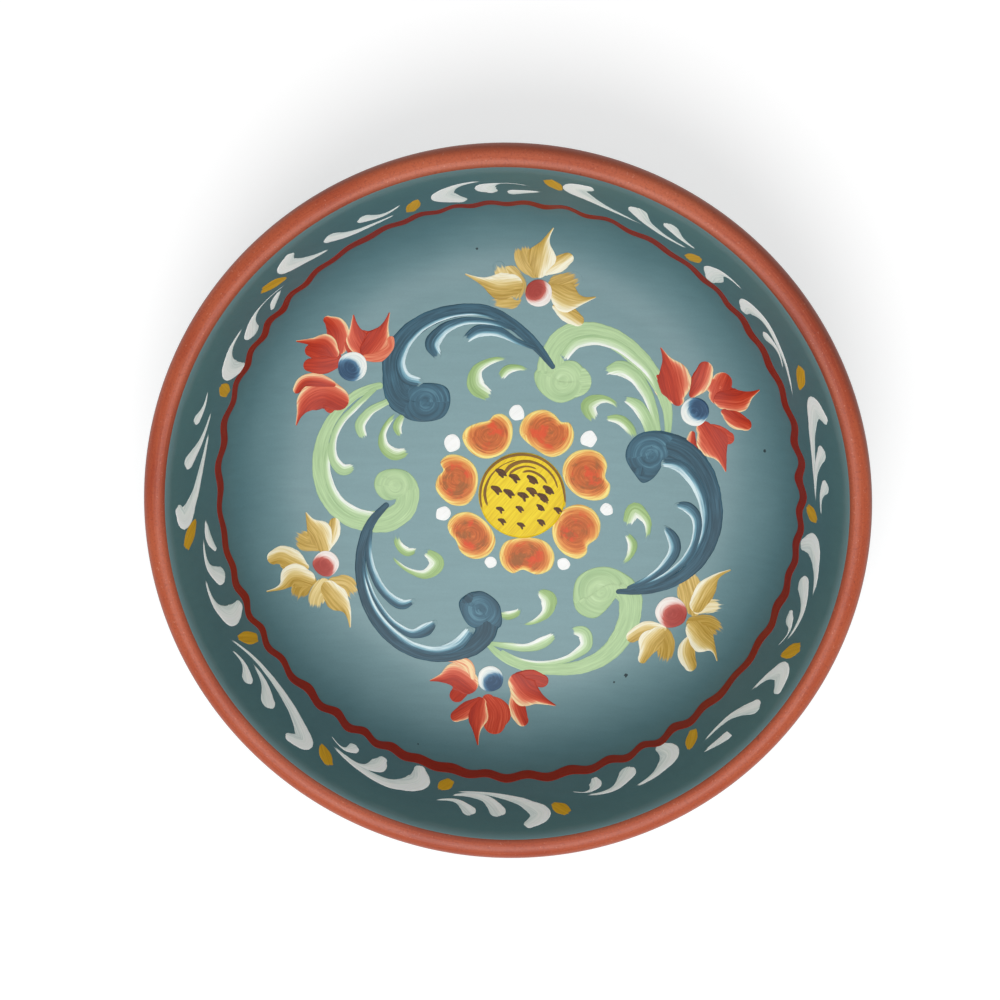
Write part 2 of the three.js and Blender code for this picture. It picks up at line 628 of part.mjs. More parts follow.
const finish = {
  wood: paintOf(0xcaa673, 0.6),
  ground: paintOf(0x7f9ba2, 0.45),
  outside: paintOf(0x4a666c, 0.45),
  rim: paintOf(0xa74e39, 0.4),
  line: paintOf(0x8b1f17, 0.4),
  blue: paintOf(0x3e6880, 0.4),
  sage: paintOf(0xb2d19c, 0.4),
  yellow: paintOf(0xe8c808, 0.4),
  petal: paintOf(0xdc8a4c, 0.4),
  red: paintOf(0xc24430, 0.4),
  ochre: paintOf(0xd2b06a, 0.4),
  red_bud: paintOf(0x54869a, 0.4),
  ochre_bud: paintOf(0xc85c50, 0.4),
  white: paintOf(0xeaefe7, 0.4),
};

const bowl = new THREE.Group();
bowl.add(
  turned("turned_bowl", [...paintedWood, ...footUnderLine].reverse(), finish.wood),
  turned("inside_ground_coat", coatOutline(0, redStart), finish.ground),
  turned("rim_coat", coatOutline(redStart, redEnd), finish.rim),
  turned("outside_ground_coat", coatOutline(redEnd, paintedWood.length - 1), finish.outside),
  wavyLine("wavy_line", finish.line),
  ...painting(middleShapes(), inTheMiddle, CrossSection.square([0, 0])),
  ...painting(borderShapes(), inTheBorder, lineArea()),
);

export default bowl;
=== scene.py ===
"""A painted wooden bowl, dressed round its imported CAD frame: turned surfaces, brushed paint and ornament.

Lengths in this script are millimetres until a mesh is made, which is in metres.
"""
import itertools
import math

import bpy
import numpy as np
from mathutils import Matrix, Vector


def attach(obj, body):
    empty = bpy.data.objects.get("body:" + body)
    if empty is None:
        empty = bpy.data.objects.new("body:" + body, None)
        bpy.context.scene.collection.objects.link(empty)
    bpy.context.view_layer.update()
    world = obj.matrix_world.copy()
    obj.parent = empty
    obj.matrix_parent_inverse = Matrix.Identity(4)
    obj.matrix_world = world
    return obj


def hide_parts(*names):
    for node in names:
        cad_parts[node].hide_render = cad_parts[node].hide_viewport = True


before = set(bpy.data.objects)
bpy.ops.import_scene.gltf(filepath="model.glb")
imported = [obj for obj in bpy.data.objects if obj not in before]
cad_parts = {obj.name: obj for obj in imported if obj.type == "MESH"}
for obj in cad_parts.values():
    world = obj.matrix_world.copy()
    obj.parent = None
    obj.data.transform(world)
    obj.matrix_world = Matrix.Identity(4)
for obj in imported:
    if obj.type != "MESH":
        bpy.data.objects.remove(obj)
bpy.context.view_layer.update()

MM = 0.001
rng = np.random.default_rng(11)

# The turned blank, as in the CAD model
RIM_RADIUS = 127.0
INSIDE_DEPTH = 53.0
WALL_ANGLE = math.radians(69)
WALL_THICKNESS = 7.5
LIP_RADIUS = 4.7
COVE_RADIUS = 33.0
UNDER_CURVE_RADIUS = 46.0
FLOOR_THICKNESS = 8.0
FOOT_HEIGHT = 4.0
FOOT_RADIUS = 64.0
FOOT_WIDTH = 8.0
FOOT_FILLET = 1.6
FOOT_EDGE = 0.4
RECESS_DEPTH = 3.0
COAT = 0.3
INNER_COLOUR_LINE = math.radians(40)  # from the top of the lip to where the red ends inside

# How finely the turned surfaces are divided
TURN_STEPS = 360
CURVE_STEP = math.radians(2.5)
FLAT_STEP = 4
WALL_STEP = 2
AXIS_GAP = 0.02  # outlines stop just short of the axis

# Heights and curve centres that follow from them
UNDER_Z = FOOT_HEIGHT
FLOOR_Z = UNDER_Z + FLOOR_THICKNESS
TOP_Z = FLOOR_Z + INSIDE_DEPTH
along_wall = np.array([math.cos(WALL_ANGLE), math.sin(WALL_ANGLE)])
out_of_wall = np.array([math.sin(WALL_ANGLE), -math.cos(WALL_ANGLE)])
lip_centre = np.array([RIM_RADIUS - LIP_RADIUS, TOP_Z - LIP_RADIUS])
wall_top = lip_centre - out_of_wall * LIP_RADIUS


def curve_centre(point, z, radius):
    """The centre of a curve of that radius that touches the level z and the wall line through a point."""
    touch_z = z + radius * (1 - math.cos(WALL_ANGLE))
    touch_r = point[0] - (point[1] - touch_z) / math.tan(WALL_ANGLE)
    return np.array([touch_r - radius * math.sin(WALL_ANGLE), z + radius])


cove_centre = curve_centre(wall_top, FLOOR_Z, COVE_RADIUS)
under_centre = curve_centre(wall_top + out_of_wall * WALL_THICKNESS, UNDER_Z, UNDER_CURVE_RADIUS)
COVE_START = cove_centre[0]
WALL_START = COVE_START + COVE_RADIUS * WALL_ANGLE
wall_foot = cove_centre + COVE_RADIUS * out_of_wall
INSIDE_REACH = WALL_START + float(np.hypot(*(wall_top - wall_foot)))
MID_WALL_RADIUS = 113.0


def inside_place(reach, angle, lift):
    """Points of the inside: reach outwards along the wood's surface, angle round it, and lift clear of it."""
    reach, angle, lift = np.broadcast_arrays(np.asarray(reach, float), angle, lift)
    turn = np.clip((reach - COVE_START) / COVE_RADIUS, 0, WALL_ANGLE)
    up_wall = np.maximum(reach - WALL_START, 0)
    on_cove = cove_centre[0] + (COVE_RADIUS - lift) * np.sin(turn) + up_wall * along_wall[0]
    radius = np.where(reach < COVE_START, reach, on_cove)
    height = cove_centre[1] - (COVE_RADIUS - lift) * np.cos(turn) + up_wall * along_wall[1]
    return np.stack([radius * np.cos(angle), radius * np.sin(angle), height], axis=-1)


def on_floor(x, y):
    """Reach and angle of a point of the centre ornament, drawn as if the inside were flattened."""
    return np.hypot(x, y), np.arctan2(y, x)


def on_wall(x, y):
    """Reach and angle of a point of the border: x mm round the wall and y mm up it."""
    return WALL_START + y, x / MID_WALL_RADIUS


def lengths(line, power=1):
    """How far along a line each of its points lies. A power of 0.5 suits knots for uneven points."""
    steps = np.hypot(*np.diff(np.asarray(line, float)[:, :2], axis=0).T) ** power
    return np.concatenate([[0], np.cumsum(steps)])


def unit(vectors):
    return vectors / np.linalg.norm(vectors, axis=-1, keepdims=True)


def left_of(ways):
    return np.stack([-ways[..., 1], ways[..., 0]], axis=-1)


def direction(degrees):
    return np.array([math.cos(math.radians(degrees)), math.sin(math.radians(degrees))])


# Meshes
class Solid:
    """Grids and fans of points in millimetres that become one mesh, with the attributes its paint reads."""

    def __init__(self):
        self.points, self.faces, self.slots = [], [], []
        self.values = {"reach": [], "load": [], "wet": []}
        self.brush = []
        self.count = 0

    def add(self, points, faces, slot, reach, load, wet, brush):
        points = np.asarray(points, float).reshape(-1, 3)
        n = len(points)
        self.points.append(points)
        self.faces += [[self.count + k for k in face] for face in faces]
        self.slots += [slot] * len(faces)
        for name, value in (("reach", reach), ("load", load), ("wet", wet)):
            self.values[name].append(np.broadcast_to(np.asarray(value, float).reshape(-1), (n,)))
        self.brush.append(np.asarray(brush, float).reshape(n, 3))
        self.count += n

    def piece(self, name, materials):
        mesh = bpy.data.meshes.new(name)
        mesh.from_pydata((np.concatenate(self.points) * MM).tolist(), [], self.faces)
        mesh.polygons.foreach_set("material_index", self.slots)
        for key, values in self.values.items():
            layer = mesh.attributes.new(key, "FLOAT", "POINT")
            layer.data.foreach_set("value", np.concatenate(values).astype(np.float32))
        layer = mesh.attributes.new("brush", "FLOAT_VECTOR", "POINT")
        layer.data.foreach_set("vector", np.concatenate(self.brush).astype(np.float32).ravel())
        mesh.shade_smooth()
        for material in materials:
            mesh.materials.append(material)
        obj = bpy.data.objects.new(name, mesh)
        bpy.context.collection.objects.link(obj)
        return obj


def grid_faces(rows, columns, closed_along=False):
    """Quads of a grid of points, in rows along and in closed rings of columns across."""
    i = np.arange(rows if closed_along else rows - 1)[:, None]
    j = np.arange(columns)[None, :]
    i2, j2 = (i + 1) % rows, (j + 1) % columns
    quads = [i * columns + j, i * columns + j2, i2 * columns + j2, i2 * columns + j]
    return np.stack(np.broadcast_arrays(*quads), axis=-1).reshape(-1, 4).tolist()


def arc(centre, radius, start, end):
    """Points of an arc in the (radius, height) plane."""
    a = np.linspace(start, end, max(2, math.ceil(abs(end - start) / CURVE_STEP)) + 1)
    return centre + radius * np.stack([np.cos(a), np.sin(a)], axis=1)


BRUSH_CIRCLE = 12  # radius of the circle that stands for a turn of the lathe in the paint's noise


def turned(name, outline, materials, reach=0.0):
    """A piece turned about Z from a closed outline in (radius, height). Its brush runs round the axis."""
    angle = np.linspace(0, 2 * np.pi, TURN_STEPS, endpoint=False)[:, None]
    radius, height = np.asarray(outline, float).T
    round_x, round_y = BRUSH_CIRCLE * np.cos(angle), BRUSH_CIRCLE * np.sin(angle)
    points = np.stack(np.broadcast_arrays(radius * np.cos(angle), radius * np.sin(angle), height), axis=-1)
    brush = np.stack(np.broadcast_arrays(round_x, round_y, lengths(outline)), axis=-1)
    faces = grid_faces(TURN_STEPS, len(radius), closed_along=True)
    solid = Solid()
    solid.add(points, faces, 0, np.broadcast_to(reach, (TURN_STEPS, len(radius))), 0, 1, brush)
    return solid.piece(name, materials)


# Node trees
def srgb(colour):
    """A colour written in display values of 0 to 255, as Blender's linear values."""
    shares = [value / 255 for value in colour]
    return tuple(v / 12.92 if v <= 0.04045 else ((v + 0.055) / 1.055) ** 2.4 for v in shares) + (1,)


class Tree:
    """Short calls for the nodes of one material, world or group. Colours are sockets or display values."""

    def __init__(self, tree):
        self.tree = tree

    def node(self, kind, inputs=None, **settings):
        made = self.tree.nodes.new(kind)
        for key, value in settings.items():
            setattr(made, key, value)
        for key, value in (inputs or {}).items():
            self.feed(made.inputs[key], value)
        return made

    def feed(self, socket, value):
        if isinstance(value, bpy.types.NodeSocket):
            self.tree.links.new(value, socket)
        else:
            socket.default_value = value

    def math(self, operation, a, b=0.0, c=0.0):
        return self.node("ShaderNodeMath", {0: a, 1: b, 2: c}, operation=operation).outputs[0]

    def vector(self, operation, a, b=(0, 0, 0), output="Vector"):
        return self.node("ShaderNodeVectorMath", {0: a, 1: b}, operation=operation).outputs[output]

    def attribute(self, name, output="Fac"):
        return self.node("ShaderNodeAttribute", attribute_name=name).outputs[output]

    def place(self):
        return self.node("ShaderNodeTexCoord").outputs["Object"]

    def camera_ray(self):
        return self.node("ShaderNodeLightPath").outputs["Is Camera Ray"]

    def noise(self, vector, scale=1.0, detail=2.0, roughness=0.5):
        values = {"Vector": vector, "Scale": scale, "Detail": detail, "Roughness": roughness}
        return self.node("ShaderNodeTexNoise", values).outputs["Fac"]

    def stretch(self, value, low, high, to_low=0.0, to_high=1.0, kind="SMOOTHSTEP"):
        values = {"Value": value, "From Min": low, "From Max": high, "To Min": to_low, "To Max": to_high}
        return self.node("ShaderNodeMapRange", values, interpolation_type=kind).outputs[0]

    def mix(self, factor, a, b):
        made = self.node("ShaderNodeMix", {0: factor}, data_type="RGBA")
        for socket, colour in zip(made.inputs[6:8], (a, b)):
            self.feed(socket, srgb(colour) if isinstance(colour, tuple) else colour)
        return made.outputs[2]

    def shaded(self, colour, value):
        return self.node("ShaderNodeHueSaturation", {"Value": value, "Color": colour}).outputs[0]

    def ramp(self, value, stops):
        made = self.node("ShaderNodeValToRGB", {0: value})
        elements = made.color_ramp.elements
        while len(elements) < len(stops):
            elements.new(0.5)
        for element, (place, colour) in zip(elements, stops):
            element.position = place
            element.color = srgb(colour)
        return made.outputs[0]


def new_material(name):
    material = bpy.data.materials.new(name)
    material.use_nodes = True
    return material, Tree(material.node_tree), material.node_tree.nodes["Principled BSDF"]


GLOSS = 0.3
COAT_ROUGHNESS = 0.25


def finish_shader(tree, shader, colour, relief, depth, roughness, coat=0.0, gloss=GLOSS):
    """Colour, relief and gloss of a paint. depth is the relief's, in mm."""
    tree.feed(shader.inputs["Base Color"], colour)
    values = {"Roughness": roughness, "Coat Weight": coat, "Coat Roughness": COAT_ROUGHNESS}
    values["Specular IOR Level"] = gloss
    for name, value in values.items():
        shader.inputs[name].default_value = value
    bump = tree.node("ShaderNodeBump", {"Height": relief, "Strength": 1.0, "Distance": depth * MM})
    tree.feed(shader.inputs["Normal"], bump.outputs[0])


# Ground colours by reach from the floor's centre, darker to the wall: part antiquing glaze, part painted
# shade
GROUND = (
    (0, (134, 166, 171)),
    (60, (130, 162, 167)),
    (76, (126, 157, 162)),
    (92, (107, 141, 147)),
    (106, (88, 124, 131)),
    (118, (81, 114, 120)),
    (136, (75, 110, 115)),
    (INSIDE_REACH, (79, 115, 118)),
)
GROUND_WANDER = 14  # how far, in mm, the borders between those colours wander


def ground_group():
    """The mottled ground colour, shared by the coat and by the thin ends of strokes that let it show."""
    group = bpy.data.node_groups.new("ground_tone", "ShaderNodeTree")
    group.interface.new_socket("Color", in_out="OUTPUT", socket_type="NodeSocketColor")
    group.interface.new_socket("Height", in_out="OUTPUT", socket_type="NodeSocketFloat")
    tree = Tree(group)
    place = tree.place()
    wander = tree.math("MULTIPLY_ADD", tree.noise(place, 28, 3, 0.6), GROUND_WANDER, -GROUND_WANDER / 2)
    share = tree.math("DIVIDE", tree.math("ADD", tree.attribute("reach"), wander), INSIDE_REACH)
    # the ramp's darkening towards the wall is partly an antiquing glaze and partly painted shade
    tone = tree.ramp(share, [(at / INSIDE_REACH, colour) for at, colour in GROUND])
    slant = {"Vector": place, "Rotation": (0, 0, 0.5), "Scale": (60, 420, 200)}
    streaks = tree.noise(tree.node("ShaderNodeMapping", slant).outputs[0], detail=3, roughness=0.55)
    fine = tree.noise(place, 1500)
    shade = tree.math("MULTIPLY_ADD", streaks, 0.16, tree.math("MULTIPLY", fine, 0.10))
    out = tree.node("NodeGroupOutput")
    tree.feed(out.inputs[0], tree.shaded(tone, tree.math("ADD", shade, 0.87)))
    tree.feed(out.inputs[1], tree.math("MULTIPLY_ADD", fine, 0.5, streaks))
    return group


ground_tone = ground_group()


def ground_paint():
    """The ground coat, with a few dark specks and a dull halo where it meets the red of the lip."""
    material, tree, shader = new_material("ground_paint")
    ground = tree.node("ShaderNodeGroup", node_tree=ground_tone)
    place = tree.place()
    cells = tree.node("ShaderNodeTexVoronoi", {"Vector": place, "Scale": 55.0, "Randomness": 1.0})
    chosen = tree.math("GREATER_THAN", cells.outputs["Color"], 0.8)
    speck = tree.math("MULTIPLY", tree.stretch(cells.outputs["Distance"], 0.02, 0.05, 1, 0), chosen)
    colour = tree.mix(tree.math("MULTIPLY", speck, 0.55), ground.outputs[0], (52, 66, 68))
    near_rim = tree.math("MULTIPLY_ADD", tree.noise(place, 90), 3, tree.attribute("reach"))
    halo = tree.stretch(near_rim, INSIDE_REACH - 0.5, INSIDE_REACH + 2.5, 0, 0.38)
    finish_shader(tree, shader, tree.mix(halo, colour, (118, 138, 140)), ground.outputs[1], 0.035, 0.42)
    return material


def rim_paint():
    """Red-brown gritty paint with pale specks, a darker inner edge and painted shade outside, most on the far
    side.
    """
    material, tree, shader = new_material("rim_paint")
    brush, place = tree.attribute("brush", "Vector"), tree.place()
    streaks = tree.noise(tree.vector("MULTIPLY", brush, (0.5, 0.5, 1.8)), detail=3)
    grit = tree.noise(place, 1400, roughness=0.6)
    broad = tree.noise(place, 14, 3)
    colour = tree.ramp(broad, [(0.3, (158, 60, 32)), (0.5, (176, 76, 44)), (0.72, (192, 94, 58))])
    colour = tree.mix(tree.stretch(streaks, 0.35, 0.75, 0, 0.35), colour, (200, 106, 68))
    colour = tree.mix(tree.stretch(tree.noise(place, 260, 4, 0.7), 0.66, 0.72, 0, 0.6), colour, (120, 52, 40))
    colour = tree.mix(tree.stretch(grit, 0.45, 0.75, 0, 0.4), colour, (132, 48, 34))
    # small pale specks scattered over the red paint
    pale_specks = tree.noise(place, 1100, roughness=0.6)
    colour = tree.mix(tree.stretch(pale_specks, 0.66, 0.72, 0, 0.3), colour, (226, 166, 140))
    across = tree.node("ShaderNodeSeparateXYZ", {0: brush}).outputs[2]
    # painted shade: the lip's outer side is darkened, and the band reaches further round the lip on the far
    # side, away from the lamps
    far_side_shade = tree.stretch(tree.vector("DOT_PRODUCT", place, (0.45, 0.9, 0), "Value"), 0.02, 0.12)
    outer = tree.stretch(tree.math("MULTIPLY_ADD", far_side_shade, 3.2, across), 7.5, 11, 0, 0.6)
    # the first 2.2 mm are the paint's own darker inner edge; the band on the outer side is painted shade
    edges = tree.math("MAXIMUM", tree.stretch(across, 0, 2.2, 0.5, 0), outer)
    colour = tree.mix(edges, colour, (100, 44, 26))
    finish_shader(tree, shader, colour, tree.math("ADD", streaks, grit), 0.05, 0.4, gloss=0.42)
    return material


def outside_paint():
    material, tree, shader = new_material("outside_paint")
    place = tree.place()
    turns = tree.vector("MULTIPLY", tree.attribute("brush", "Vector"), (0.4, 0.4, 0.9))
    streaks = tree.noise(turns, detail=4, roughness=0.6)
    broad = tree.noise(place, 22, 3)
    colour = tree.ramp(broad, [(0.3, (74, 100, 105)), (0.5, (84, 112, 117)), (0.72, (96, 124, 128))])
    colour = tree.mix(tree.stretch(streaks, 0.4, 0.8, 0, 0.45), colour, (112, 140, 143))
    colour = tree.mix(tree.stretch(tree.noise(place, 300, 3), 0.68, 0.74, 0, 0.5), colour, (50, 70, 74))
    finish_shader(tree, shader, colour, streaks, 0.06, 0.42)
    return material


TOOL_MARK = 1.1  # from one faint turning ring to the next


def wood():
    """Bare birch under varnish: face grain along X, faint turning rings and a few flecks."""
    material, tree, shader = new_material("varnished_wood")
    place = tree.place()
    bend = tree.vector("MULTIPLY", tree.noise(place, 9), (0, 11, 0))
    grain = tree.noise(tree.vector("ADD", tree.vector("MULTIPLY", place, (16, 300, 90)), bend), 1.0, 5, 0.6)
    pores = tree.noise(tree.vector("MULTIPLY", place, (160, 2200, 600)))
    colour = tree.ramp(grain, [(0.3, (160, 118, 72)), (0.5, (196, 156, 104)), (0.7, (214, 178, 128))])
    colour = tree.mix(tree.stretch(pores, 0.6, 0.75, 0, 0.35), colour, (128, 86, 48))
    from_axis = tree.vector("LENGTH", tree.vector("MULTIPLY", place, (1, 1, 0)), output="Value")
    rings = tree.math("SINE", tree.math("MULTIPLY", from_axis, 2 * math.pi / (TOOL_MARK * MM)))
    relief = tree.math("MULTIPLY_ADD", rings, 0.3, grain)
    finish_shader(tree, shader, colour, relief, 0.05, 0.38, coat=0.3)
    return material


STREAK = 1.6  # brush streaks to a mm across a stroke


def brushed_paint(name, stops, spread=0.5, depth=0.06, under=None, blush=()):
    """Paint laid with a loaded brush. load picks the colour, wet says how far the paint covers the ground,
    and streaks along the stroke disturb both. stops are the colours for loads from 0 to 1, under is the
    colour below where that isn't the ground, and blush holds tints that mingle in patches."""
    material, tree, shader = new_material(name)
    brush = tree.attribute("brush", "Vector")
    coarse = tree.noise(tree.vector("MULTIPLY", brush, (0.09, STREAK, 1)))
    fine = tree.noise(tree.vector("MULTIPLY", brush, (0.22, STREAK * 3.2, 1)))
    streaks = tree.math("MULTIPLY_ADD", coarse, 0.68, tree.math("MULTIPLY", fine, 0.32))
    off = tree.math("SUBTRACT", streaks, 0.5)
    load = tree.math("MULTIPLY_ADD", off, spread * 2, tree.attribute("load"))
    colour = tree.ramp(load, stops)
    for k, tint in enumerate(blush):
        shifted = tree.vector("ADD", tree.place(), (0.31 * k, 0.17 * k, 0))
        patch = tree.stretch(tree.noise(shifted, 150, 3, 0.6), 0.5, 0.62, 0, 0.85)
        colour = tree.mix(tree.math("MULTIPLY", patch, tree.stretch(load, 0.25, 0.7, 1, 0)), colour, tint)
    colour = tree.shaded(colour, tree.stretch(streaks, 0.25, 0.75, 0.93, 1.07, kind="LINEAR"))
    cover = tree.stretch(tree.math("MULTIPLY_ADD", off, 1.9, tree.attribute("wet")), 0.25, 0.6)
    below = under or tree.node("ShaderNodeGroup", node_tree=ground_tone).outputs[0]
    relief = tree.math("MULTIPLY", streaks, cover)
    finish_shader(tree, shader, tree.mix(cover, below, colour), relief, depth, 0.4)
    return material


PAINT_STOPS = {
    "blue": [(0, (40, 74, 90)), (0.3, (62, 106, 126)), (0.65, (124, 176, 194)), (1, (224, 243, 246))],
    "sage": [(0, (166, 200, 146)), (0.4, (192, 220, 168)), (0.75, (220, 239, 204)), (1, (252, 254, 248))],
    "olive": [(0, (146, 180, 112)), (0.35, (176, 206, 142)), (0.7, (218, 236, 198)), (1, (250, 253, 244))],
    "white": [(0, (222, 232, 229)), (0.5, (250, 253, 249)), (1, (255, 255, 253))],
    "leaf": [(0, (176, 126, 10)), (0.5, (212, 158, 18)), (1, (232, 184, 48))],
    "red": [(0, (168, 36, 12)), (0.3, (198, 58, 26)), (0.6, (226, 100, 68)), (0.82, (242, 150, 112)),
            (1, (253, 224, 172))],
    "ochre": [(0, (184, 146, 54)), (0.3, (216, 182, 98)), (0.6, (238, 215, 150)), (1, (255, 249, 224))],
    "bud_blue": [(0, (36, 74, 108)), (0.45, (84, 134, 168)), (0.7, (206, 226, 230)), (1, (250, 252, 246))],
    "bud_red": [(0, (172, 58, 48)), (0.5, (202, 92, 80)), (0.75, (240, 196, 186)), (1, (252, 243, 236))],
    "petal": [(0, (178, 84, 30)), (0.35, (210, 106, 44)), (0.62, (232, 142, 68)), (0.85, (246, 188, 98)),
              (1, (254, 232, 140))],
    "fleck": [(0, (40, 56, 62)), (1, (66, 84, 88))],
    "yellow": [(0, (214, 172, 0)), (0.5, (242, 206, 0)), (1, (252, 228, 34))],
    "brown": [(0, (78, 40, 14)), (1, (164, 118, 14))],
    "line": [(0, (124, 18, 2)), (1, (166, 40, 10))],
}
PAINT_TRAITS = {
    "white": {"spread": 0.6, "depth": 0.1},
    "red": {"spread": 0.45},
    "ochre": {"spread": 0.6},
    "bud_blue": {"spread": 0.4},
    "bud_red": {"spread": 0.3},
    "petal": {"spread": 0.55, "under": (204, 104, 42), "blush": [(232, 78, 34), (160, 96, 44)]},
    "yellow": {"spread": 0.7},
    "brown": {"under": (222, 190, 10)},
    "line": {"spread": 0.6},
}
PAINTS = {}
for paint, stops in PAINT_STOPS.items():
    PAINTS[paint] = brushed_paint(paint + "_paint", stops, **PAINT_TRAITS.get(paint, {}))

# Strokes
STROKE_HEIGHT = 0.07
LAYER = 0.03  # from one layer of strokes to the next
EDGE_DEPTH = 0.03  # how far a stroke's edge sinks into the coat
UNDERSIDE = COAT - EDGE_DEPTH - 0.04
UNDERSIDE_SHARE = 0.6  # of a stroke's width
ROW_STEP = 0.7
PATH_STEPS = 200
CAP_ROWS = 7
LEAST_HALF_WIDTH = 0.12
LEAST_CAP = 0.25  # radius of a stroke's sharpest end
BODY_LOAD = 0.12  # how light the plain side of a blended stroke is
BRUSH_STEP = 37.7  # keeps the noise of one stroke away from the next one's
ACROSS = np.array([-1, -0.94, -0.8, -0.55, -0.28, 0, 0.28, 0.55, 0.8, 0.94, 1])
RINGS = np.array([1, 1, 0.95, 0.86, 0.72, 0.55, 0.36, 0.16])
RING_RISE = np.array([0, 0.55, 0.75, 0.9, 0.97, 1, 1, 1])
stroke_numbers = itertools.count(1)


def through(knots, values, t):
    """A smooth curve through rows of values at the knots, read at t."""
    step = np.diff(knots)[:, None]
    rise = np.diff(values, axis=0) / step
    slope = np.empty_like(values)
    slope[1:-1] = (rise[:-1] * step[1:] + rise[1:] * step[:-1]) / (step[1:] + step[:-1])
    slope[0] = 1.5 * rise[0] - 0.5 * (slope[1] if len(values) > 2 else rise[0])
    slope[-1] = 1.5 * rise[-1] - 0.5 * (slope[-2] if len(values) > 2 else rise[-1])
    i = np.clip(np.searchsorted(knots, t, side="right") - 1, 0, len(knots) - 2)
    h = step[i]
    s = (t[:, None] - knots[i][:, None]) / h
    from_values = values[i] * (1 + 2 * s) * (1 - s) ** 2 + values[i + 1] * s**2 * (3 - 2 * s)
    return from_values + h * slope[i] * s * (1 - s) ** 2 - h * slope[i + 1] * s**2 * (1 - s)


def soft(value, low, high):
    """From 0 at low to 1 at high, easing in and out."""
    t = np.clip((value - low) / (high - low), 0, 1)
    return t * t * (3 - 2 * t)


def padded(grid):
    """A stroke's values across, with those of its two edges once more for its underside."""
    return np.concatenate([grid, grid[:, -1:], grid[:, :1]], axis=1)


def stroke_load(light, glow):
    """How light the paint is across a stroke, blended from edge to edge where it has a light side."""
    if not light:
        return glow + 0 * ACROSS
    blend = 0.35 * soft(ACROSS * light, -0.7, 0.6) + 0.65 * soft(ACROSS * light, 0.9 - 2 * glow, 0.95)
    return BODY_LOAD + (1 - BODY_LOAD) * blend


def ribbon(solid, slot, points, place=on_floor, light=0, glow=0.45, layer=0, dry=(0, 3), height=STROKE_HEIGHT,
           feather=0.25, dim=0):
    """A brush stroke through (x, y, half width) points, from its head to its tail. light is 1 or -1 where its
    left or right edge carries the light colour, which ends in the last dim mm, and dry gives the lengths over
    which its ends run out of paint."""
    number = next(stroke_numbers)
    points = np.asarray(points, float)
    knots = lengths(points)
    path = through(knots, points, np.linspace(0, knots[-1], PATH_STEPS))
    run = lengths(path)

    # Rows from the rounded head to the rounded tail
    head, tail = np.maximum(points[[0, -1], 2], LEAST_CAP)
    cap = 1 - np.cos(np.linspace(0.12, np.pi / 2, CAP_ROWS)[:-1])
    middle = np.linspace(0, run[-1], max(3, math.ceil(run[-1] / ROW_STEP)) + 1)
    d = np.concatenate([-head + head * cap, middle, run[-1] + tail - tail * cap[::-1]])
    at = np.stack([np.interp(d, run, path[:, k]) for k in range(3)], axis=1)
    start, end = unit(path[1, :2] - path[0, :2]), unit(path[-1, :2] - path[-2, :2])
    at[:, :2] += np.minimum(d, 0)[:, None] * start + np.maximum(d - run[-1], 0)[:, None] * end
    width = np.maximum(at[:, 2], LEAST_HALF_WIDTH)
    for beyond in (-d / head, (d - run[-1]) / tail):
        width *= np.sqrt(1 - np.clip(beyond, 0, 0.995) ** 2)

    # Points across, a little uneven, and held back on the inner side of a tight bend
    wobble = np.sin(d * 0.9 + number) + 0.6 * np.sin(d * 2.3 + 2.1 * number)
    ahead = unit(np.gradient(at[:, :2], d, axis=0))
    bend = np.gradient(np.unwrap(np.arctan2(ahead[:, 1], ahead[:, 0])), d)[:, None]
    room = 0.9 / np.maximum(np.abs(bend), 1e-6)
    offset = width[:, None] * ACROSS * (1 + 0.02 * wobble[:, None] * np.sign(ACROSS))
    offset = np.where(ACROSS * bend > 0, np.clip(offset, -room, room), offset)

    def beside(offset):
        return place(*np.moveaxis(at[:, None, :2] + left_of(ahead)[:, None] * offset[..., None], -1, 0))

    # Paint on it
    wet = 1 + 0 * d
    for from_end, dry_length in ((d - d[0], dry[0]), (d[-1] - d, dry[1])):
        if dry_length:
            wet -= 1 - soft(from_end, 0, dry_length)
    wet = np.clip(wet, 0, 1)[:, None] * (1 - feather * np.abs(ACROSS) ** 3)
    load = stroke_load(light, glow) + 0 * wet
    if dim:
        load = BODY_LOAD + (load - BODY_LOAD) * soft(d[-1] - d, 0, dim)[:, None]
    crown = (1 - 0.25 * ACROSS**2) * np.clip(0.25 + wet, 0, 1)
    lift = np.where(np.abs(ACROSS) == 1, COAT - EDGE_DEPTH, COAT + layer * LAYER + height * crown)

    reach, angle = beside(offset)
    under = inside_place(*beside(offset[:, [-1, 0]] * UNDERSIDE_SHARE), UNDERSIDE)
    grid = np.concatenate([inside_place(reach, angle, lift), under], axis=1)
    brush = np.stack(np.broadcast_arrays(d[:, None], offset, BRUSH_STEP * number), axis=-1)
    rows, columns = len(d), len(ACROSS) + 2
    faces = [face[::-1] for face in grid_faces(rows, columns)]
    faces.append(list(range(columns)))
    faces.append(list(range(rows * columns - 1, (rows - 1) * columns - 1, -1)))
    solid.add(grid, faces, slot, padded(reach), padded(load), padded(wet), padded(brush))


